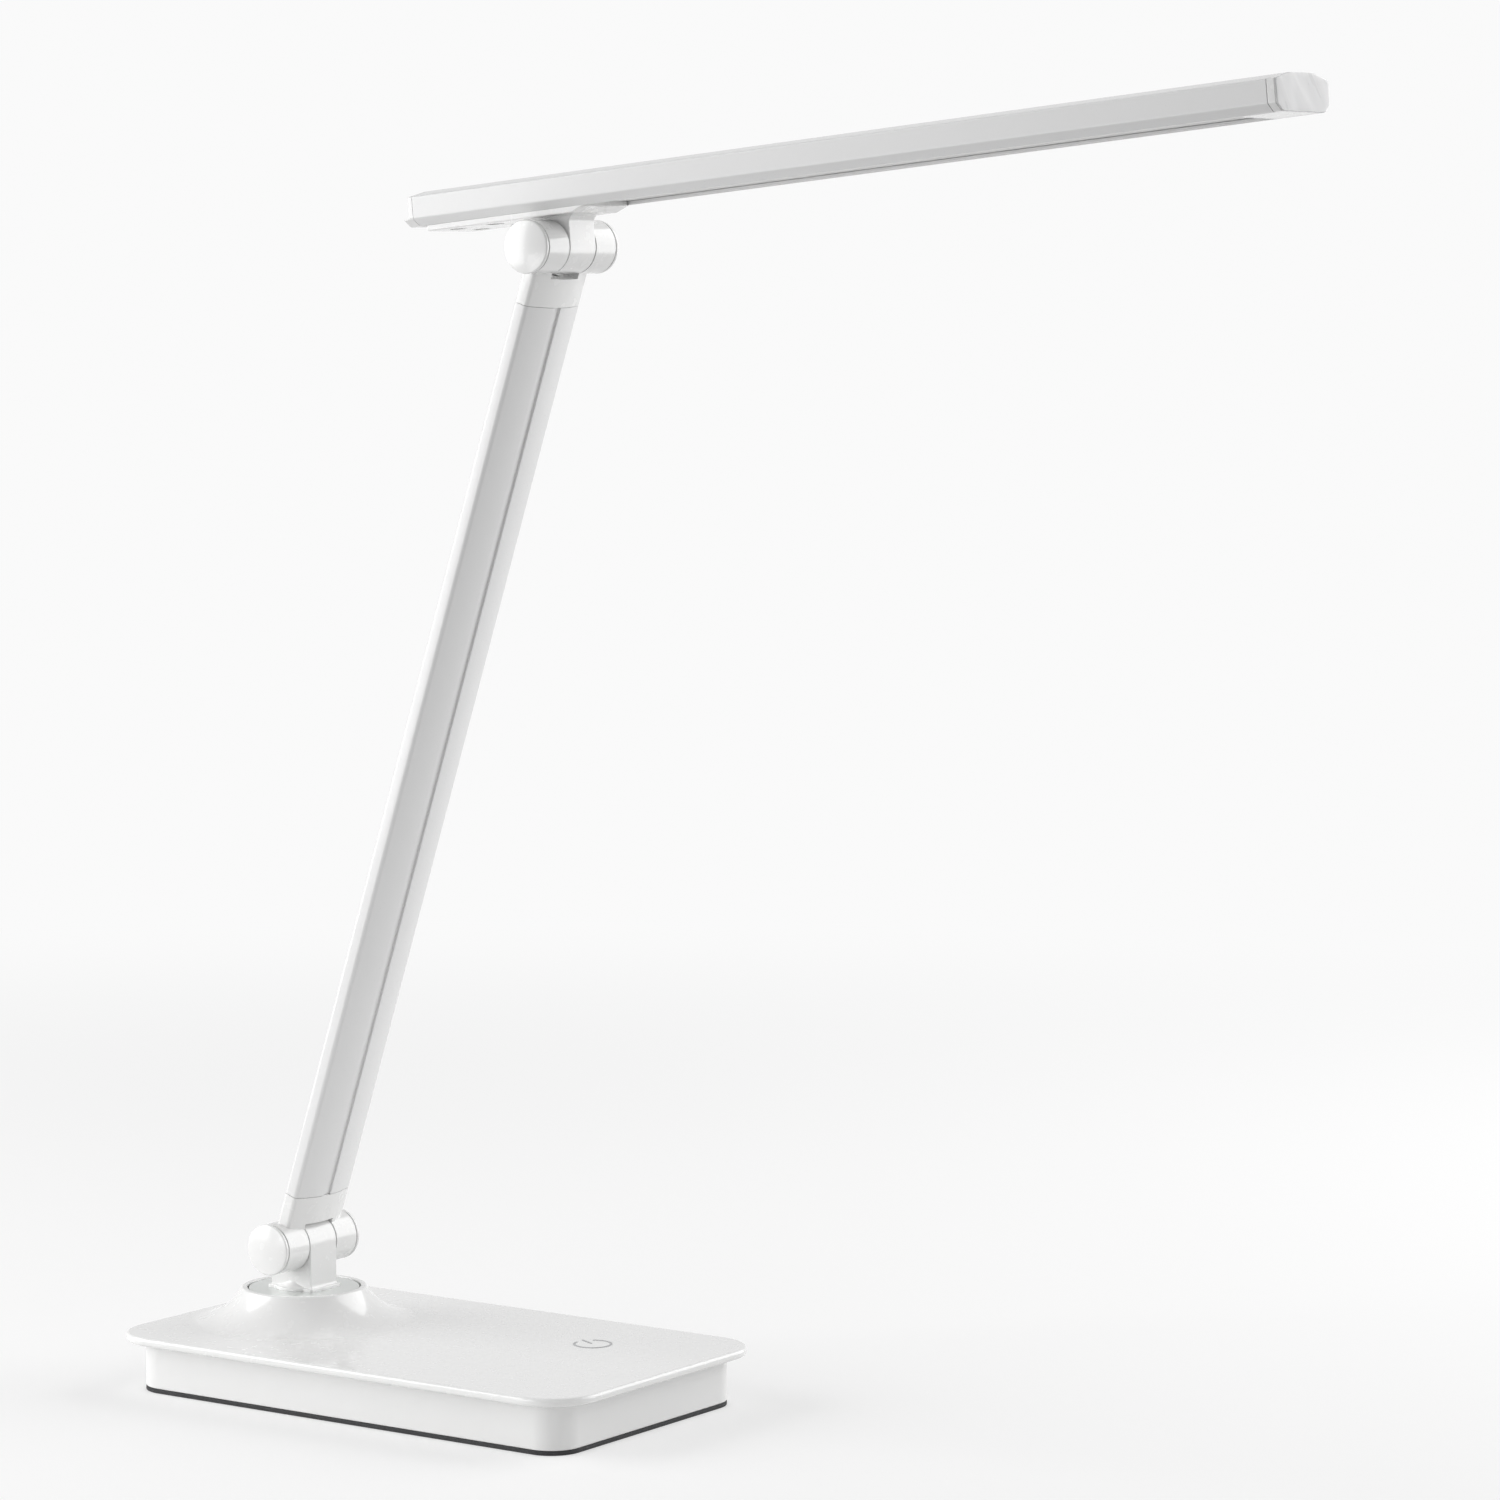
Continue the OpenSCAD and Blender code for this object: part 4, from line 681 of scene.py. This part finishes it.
def makeCap(name, place, side, cadNode):
    h = hinge
    rise = h["capTop"] - h["capEdge"]
    radius = (h["barrel"] ** 2 + rise ** 2) / (2 * rise)
    edge = math.degrees(math.acos(h["barrel"] / radius))
    dome = arc(0, h["capTop"] - radius, radius, edge, 90, 8)
    dome[-1] = (0, h["capTop"])
    bm = turned([(0, h["capIn"]), (h["spigot"], h["capIn"]), (h["spigot"], h["capRim"]),
                 (h["barrel"], h["capRim"])] + dome,
                [((h["barrel"], h["capRim"]), h["rimRound"]), ((h["barrel"], h["capEdge"]), h["capRound"])])
    setDown(name, bm, place @ toSide(side), "arm", "white_gloss", glossWhite, cadNode)


makeTurret()
makeYoke("lowerYokePiece", arm["lowerSeam"], onArm, "lower_yoke")
makeYoke("upperYokePiece", arm["upperSeam"], onArmTop, "upper_yoke")
makeTube()
for where, place in (("lower", onArm), ("upper", onArm @ Matrix.Translation((0, 0, armLine.length)))):
    makeCap(where + "CapRightPiece", place, -1, where + "_cap_right")
    makeCap(where + "CapLeftPiece", place, 1, where + "_cap_left")

# light bar

bar = {
    "half": 16.55, "low": 11.9, "sideLow": 14.4, "sideHigh": 21.9, "top": 23.9, "flat": 7.05, "under": 13.15,
    "corner": 0.45, "lipRound": 0.45, "rim": 0.12, "wall": 1.4, "web": 18.0,
    "channel": 12, "channelRoom": 0.2, "groove": 13.45, "grooveLow": 13.1, "grooveHigh": 14.9,
    "back": -48.9, "front": 281.0,
}


def barOutline():
    # sloped top, upright sides and chamfered lower edges, seen from the end
    b = bar
    right = [(b["under"], b["low"]), (b["half"], b["sideLow"]), (b["half"], b["sideHigh"]),
             (b["flat"], b["top"])]
    return right + [(-x, y) for x, y in right[::-1]]


def makeExtrusion():
    b = bar
    channel = [(b["channel"], b["low"]), (b["channel"], b["grooveLow"]), (b["groove"], b["grooveLow"]),
               (b["groove"], b["grooveHigh"]), (b["channel"], b["grooveHigh"]), (b["channel"], b["web"])]
    outline = barOutline() + [(-x, y) for x, y in channel] + channel[::-1]
    bm = outlineFace(outline, b["back"])
    roundPoints(bm, b["corner"], 3, lambda co: abs(co.x) > b["half"] - slack or co.y > b["top"] - slack)
    roundPoints(bm, b["lipRound"], 4, lambda co: co.y < b["low"] + slack)
    chamberHalf, roof = b["half"] - b["wall"], b["top"] - b["wall"]
    right = [(chamberHalf, b["web"] + b["wall"]), (chamberHalf, b["sideHigh"] - b["wall"]), (b["flat"], roof)]
    ringPrism(bm, right + [(-x, y) for x, y in right[::-1]], b["back"], b["front"])
    roundRims(bm, b["rim"], (b["back"], b["front"]))
    setDown("extrusionPiece", bm, onBar @ alongBar, "head", "white_paint", paintWhite, "head_extrusion")


frontCap = {
    "seam": 281.25, "bandEnd": 283.85, "bandRound": 0.15,
    "gap": 0.22, "end": 284.55, "corner": 0.72, "round": 0.3,  # pearly end face, after a fine dark line
    "dome": ((0.93, 0.07), (0.86, 0.05), (0.75, 0.04), (0.5, 0.03)),  # steps of the face: size and rise
    "coreWide": 0.97, "coreHigh": 0.94, "coreLift": 0.35, "coreBack": 0.6, "coreShort": 0.2,
    "tongueBack": 268.2, "tongueLow": 2.4, "tongueIn": 0.1, "tongueRound": 0.2,
}


def makeFrontCap():
    b, f = bar, frontCap
    band = prism(barOutline(), f["seam"], f["bandEnd"], b["corner"], 3)
    roundEdges(band, f["bandRound"], 2)
    core = prism([(x * f["coreWide"], b["low"] + f["coreLift"] + (y - b["low"]) * f["coreHigh"])
                  for x, y in barOutline()], f["seam"] - f["coreBack"], f["end"] - f["coreShort"])
    addTo(band, core)
    reach = b["channel"] - b["channelRoom"]
    tongue = slab(Vector((-reach, b["low"], f["tongueBack"])),
                  Vector((reach, b["web"] - f["tongueLow"], f["seam"] + f["tongueIn"])), crisp, 1)
    roundEdges(tongue, f["tongueRound"], 2)
    addTo(band, tongue)
    setDown("frontBandPiece", band, onBar @ alongBar, "head", "white_satin", glossWhite, "front_cap")
    end = prism(barOutline(), f["bandEnd"] + f["gap"], f["end"], f["corner"], 4)
    roundEdges(end, f["round"], 3, lambda p, q: min(p.z, q.z) > f["end"] - slack)
    face = [g for g in end.faces if g.normal.z > levelFace]
    middle = Matrix.Translation((0, -(b["low"] + b["top"]) / 2, 0))
    for share, rise in f["dome"]:
        face = pull(end, face, (0, 0, rise))
        corners = {v for g in face for v in g.verts}
        bmesh.ops.scale(end, vec=(share, share, 1), space=middle, verts=list(corners))
    setDown("frontEndPiece", end, onBar @ alongBar, "head", "pearl_cap", pearlPaintedSheenWhite, smooth=50)


rearCap = {"gap": 0.15, "end": -50.9, "round": 0.35,
           "lipStart": -50.0, "lipEnd": -53.0, "lipCorner": 0.4, "lipRound": 0.3}


def makeRearCap():
    b, r = bar, rearCap
    bm = prism(barOutline(), r["end"], b["back"] - r["gap"], b["corner"], 3)
    roundEdges(bm, r["round"], 3, lambda p, q: max(p.z, q.z) < r["end"] + slack)
    lip = prism([(b["under"], b["low"]), (b["half"], b["sideLow"]), (-b["half"], b["sideLow"]),
                 (-b["under"], b["low"])], r["lipEnd"], r["lipStart"], r["lipCorner"], 3)
    roundEdges(lip, r["lipRound"], 3, lambda p, q: max(p.z, q.z) < r["lipEnd"] + slack)
    combine(bm, lip, "UNION")
    setDown("rearCapPiece", bm, onBar @ alongBar, "head", "white_satin", glossWhite, "rear_cap")


diffuser = {"half": 13.3, "low": 13.25, "high": 14.75, "back": 20.7, "front": 267.7,
            "corner": 0.2, "round": 0.15}


def makeDiffuser():
    d = diffuser
    bm = slab(Vector((-d["half"], d["low"], d["back"])),
              Vector((d["half"], d["high"], d["front"])), d["corner"], 2)
    roundEdges(bm, d["round"], 2)
    setDown("diffuserPiece", bm, onBar @ alongBar, "head", "diffuser_white", opalWhite, "diffuser")


bracket = {
    "back": -46.2, "front": 14.6, "slope": 5.6, "low": 9.9, "half": 13, "round": 0.45, "fillet": 3,
    "blockCorner": 0.3, "leadWay": 1.7, "leadDeep": 30,
    "screws": (-22, -38), "screwOut": 6.5, "screwRoom": 3.05, "screwDeep": 2.5,
}


def makeBracket():
    b, k, h = bar, bracket, hinge
    bm = prism([(k["back"], k["low"]), (k["front"], k["low"]), (k["front"] + k["slope"], b["low"]),
                (k["back"], b["low"])], -k["half"], k["half"])
    roundEdges(bm, k["round"], 3, lambda p, q: min(p.y, q.y) < k["low"] + slack, sharper=10)
    bmesh.ops.transform(bm, matrix=profileUp, verts=bm.verts[:])
    reach = b["channel"] - b["channelRoom"]
    block = slab(Vector((k["back"], -reach, b["low"] - h["root"])),
                 Vector((k["front"] + k["slope"] - b["channelRoom"], reach, b["web"])), k["blockCorner"], 2)
    combine(bm, block, "UNION")
    r, f = h["barrel"], k["fillet"]
    root = k["low"] + h["root"]
    side = arc(0, 0, r, 180, 360, boreSteps) + arc(r + f, k["low"] - f, f, 180, 90, 8) \
        + [(r + f, root), (-r - f, root)] + arc(-r - f, k["low"] - f, f, 90, 0, 8)
    half = h["tongue"] / 2
    tongue = prism(side, -half, half)
    roundEdges(tongue, h["tongueRound"], 4, lambda p, q: abs(p.z - q.z) < same)
    combine(bm, tongue, "UNION", profileUp)
    combine(bm, rod(h["bore"], -through, through), "DIFFERENCE", sideways)
    combine(bm, rod(k["leadWay"], 0, k["leadDeep"]), "DIFFERENCE")
    for x in k["screws"]:
        for y in (-k["screwOut"], k["screwOut"]):
            hole = Matrix.Translation((x, y, k["low"]))
            combine(bm, rod(k["screwRoom"], -past, k["screwDeep"]), "DIFFERENCE", hole)
    setDown("bracketPiece", bm, onBar, "head", "white_gloss", glossWhite, "head_bracket")


makeExtrusion()
makeFrontCap()
makeRearCap()
makeDiffuser()
makeBracket()

# the pieces inside and the fasteners keep their CAD shape and get their finish by slot
carried = {
    "steel": milledSteel, "zinc_screws": zincSteel, "friction_disc": frictionFibre,
    "circuit_board": greenBoard, "led_board_white": whiteBoard, "led_lens": ledPhosphor,
    "black_plastic": blackMoulding, "lead_grey": leadSleeve,
}
for piece in frame["nodes"].values():
    for holder in piece.material_slots:
        if holder.material and holder.material.name in carried:
            holder.material = carried[holder.material.name]
print("carried pieces finished")

# floor, light and camera

studio = {
    "white": 0.955, "world": 0.45, "mirror": 0.84,  # surroundings as seen, as light and as mirrored
    "floorSize": 6, "floorGrey": 0.62, "floorGlow": 0.36,  # floor near the lamp, where it takes the shadow
    "fadeStart": 0.45, "fadeEnd": 1.3,  # metres out, where the floor turns as white as the surroundings
    "bounceStart": 0.1, "bounceEnd": 0.6, "bounceNear": 0.85, "bounceFar": 0.4,  # floor's light on the lamp
    "aim": (0.05, 0.0, 0.22),
    "lamps": (("keyLamp", 18.0, 1.3, (-1.25, -0.78, 0.62)), ("fillLamp", 14.5, 1.4, (0.75, 1.05, 0.60)),
              ("lowLamp", 1.1, 0.4, (-0.14, -0.68, 0.12))),  # name, power, size and place
}


def anyOf(tree, *rays):
    # 1 where at least one of the rays is 1
    made = rays[0]
    for ray in rays[1:]:
        made = node(tree, "ShaderNodeMath", {0: made, 1: ray}, operation="MAXIMUM").outputs[0]
    return made


def makeFloor():
    s = studio
    bm = bmesh.new()
    bmesh.ops.create_grid(bm, x_segments=2, y_segments=2, size=s["floorSize"])
    mesh = bpy.data.meshes.new("studioFloor")
    bm.to_mesh(mesh)
    bm.free()
    floor = bpy.data.objects.new("studioFloor", mesh)
    bpy.context.scene.collection.objects.link(floor)
    material = bpy.data.materials.new("floorWhite")
    material.use_nodes = True
    tree = material.node_tree
    tree.nodes.clear()
    out = node(tree, "ShaderNodeOutputMaterial")
    grey = s["floorGrey"]
    matt = node(tree, "ShaderNodeBsdfDiffuse", {"Color": (grey, grey, grey, 1)})
    glow = node(tree, "ShaderNodeEmission", {"Color": (1, 1, 1, 1), "Strength": s["floorGlow"]})
    near = node(tree, "ShaderNodeAddShader", {0: matt.outputs[0], 1: glow.outputs[0]})
    white = node(tree, "ShaderNodeEmission", {"Color": (1, 1, 1, 1), "Strength": s["white"]})
    where = node(tree, "ShaderNodeTexCoord").outputs["Object"]
    far = node(tree, "ShaderNodeVectorMath", {0: where}, operation="LENGTH").outputs["Value"]
    fade = span(tree, far, 0.0, 1.0, s["fadeStart"], s["fadeEnd"], interpolation_type="SMOOTHSTEP")
    seen = node(tree, "ShaderNodeMixShader", {0: fade, 1: near.outputs[0], 2: white.outputs[0]})
    bounce = span(tree, far, s["bounceNear"], s["bounceFar"], s["bounceStart"], s["bounceEnd"],
                  interpolation_type="SMOOTHSTEP")
    plain = node(tree, "ShaderNodeBsdfDiffuse", {"Color": bounce})
    path = node(tree, "ShaderNodeLightPath").outputs
    direct = anyOf(tree, path["Is Camera Ray"], path["Is Glossy Ray"], path["Is Transmission Ray"])
    final = node(tree, "ShaderNodeMixShader", {0: direct, 1: plain.outputs[0], 2: seen.outputs[0]})
    tree.links.new(final.outputs[0], out.inputs["Surface"])
    mesh.materials.append(material)


def makeWorld():
    world = bpy.data.worlds.new("studioWorld")
    bpy.context.scene.world = world
    world.use_nodes = True
    tree = world.node_tree
    back = tree.nodes["Background"]
    back.inputs["Color"].default_value = (1, 1, 1, 1)
    path = node(tree, "ShaderNodeLightPath").outputs
    mirrored = span(tree, path["Is Glossy Ray"], studio["world"], studio["mirror"])
    direct = anyOf(tree, path["Is Camera Ray"], path["Is Transmission Ray"])
    tree.links.new(span(tree, direct, mirrored, studio["white"]), back.inputs["Strength"])


def makeLamp(name, power, size, place):
    light = bpy.data.lights.new(name, "AREA")
    light.energy = power
    light.size = size
    lamp = bpy.data.objects.new(name, light)
    bpy.context.scene.collection.objects.link(lamp)
    aim = Vector(studio["aim"]) - Vector(place)
    lamp.matrix_world = Matrix.Translation(place) @ aim.to_track_quat("-Z", "Y").to_matrix().to_4x4()


view = {"place": (1.1089, -1.4051, 0.3947), "turn": 34.76, "down": 5.388, "lens": 125.02, "sensor": 36}


def makeCamera():
    data = bpy.data.cameras.new("photoCamera")
    data.lens = view["lens"]
    data.sensor_width = view["sensor"]
    camera = bpy.data.objects.new("photoCamera", data)
    bpy.context.scene.collection.objects.link(camera)
    camera.location = view["place"]
    camera.rotation_euler = (math.radians(90 - view["down"]), 0, math.radians(view["turn"]))
    bpy.context.scene.camera = camera


makeFloor()
makeWorld()
for lampRow in studio["lamps"]:
    makeLamp(*lampRow)
makeCamera()
bpy.context.scene.view_settings.view_transform = "Standard"
print("studio made")
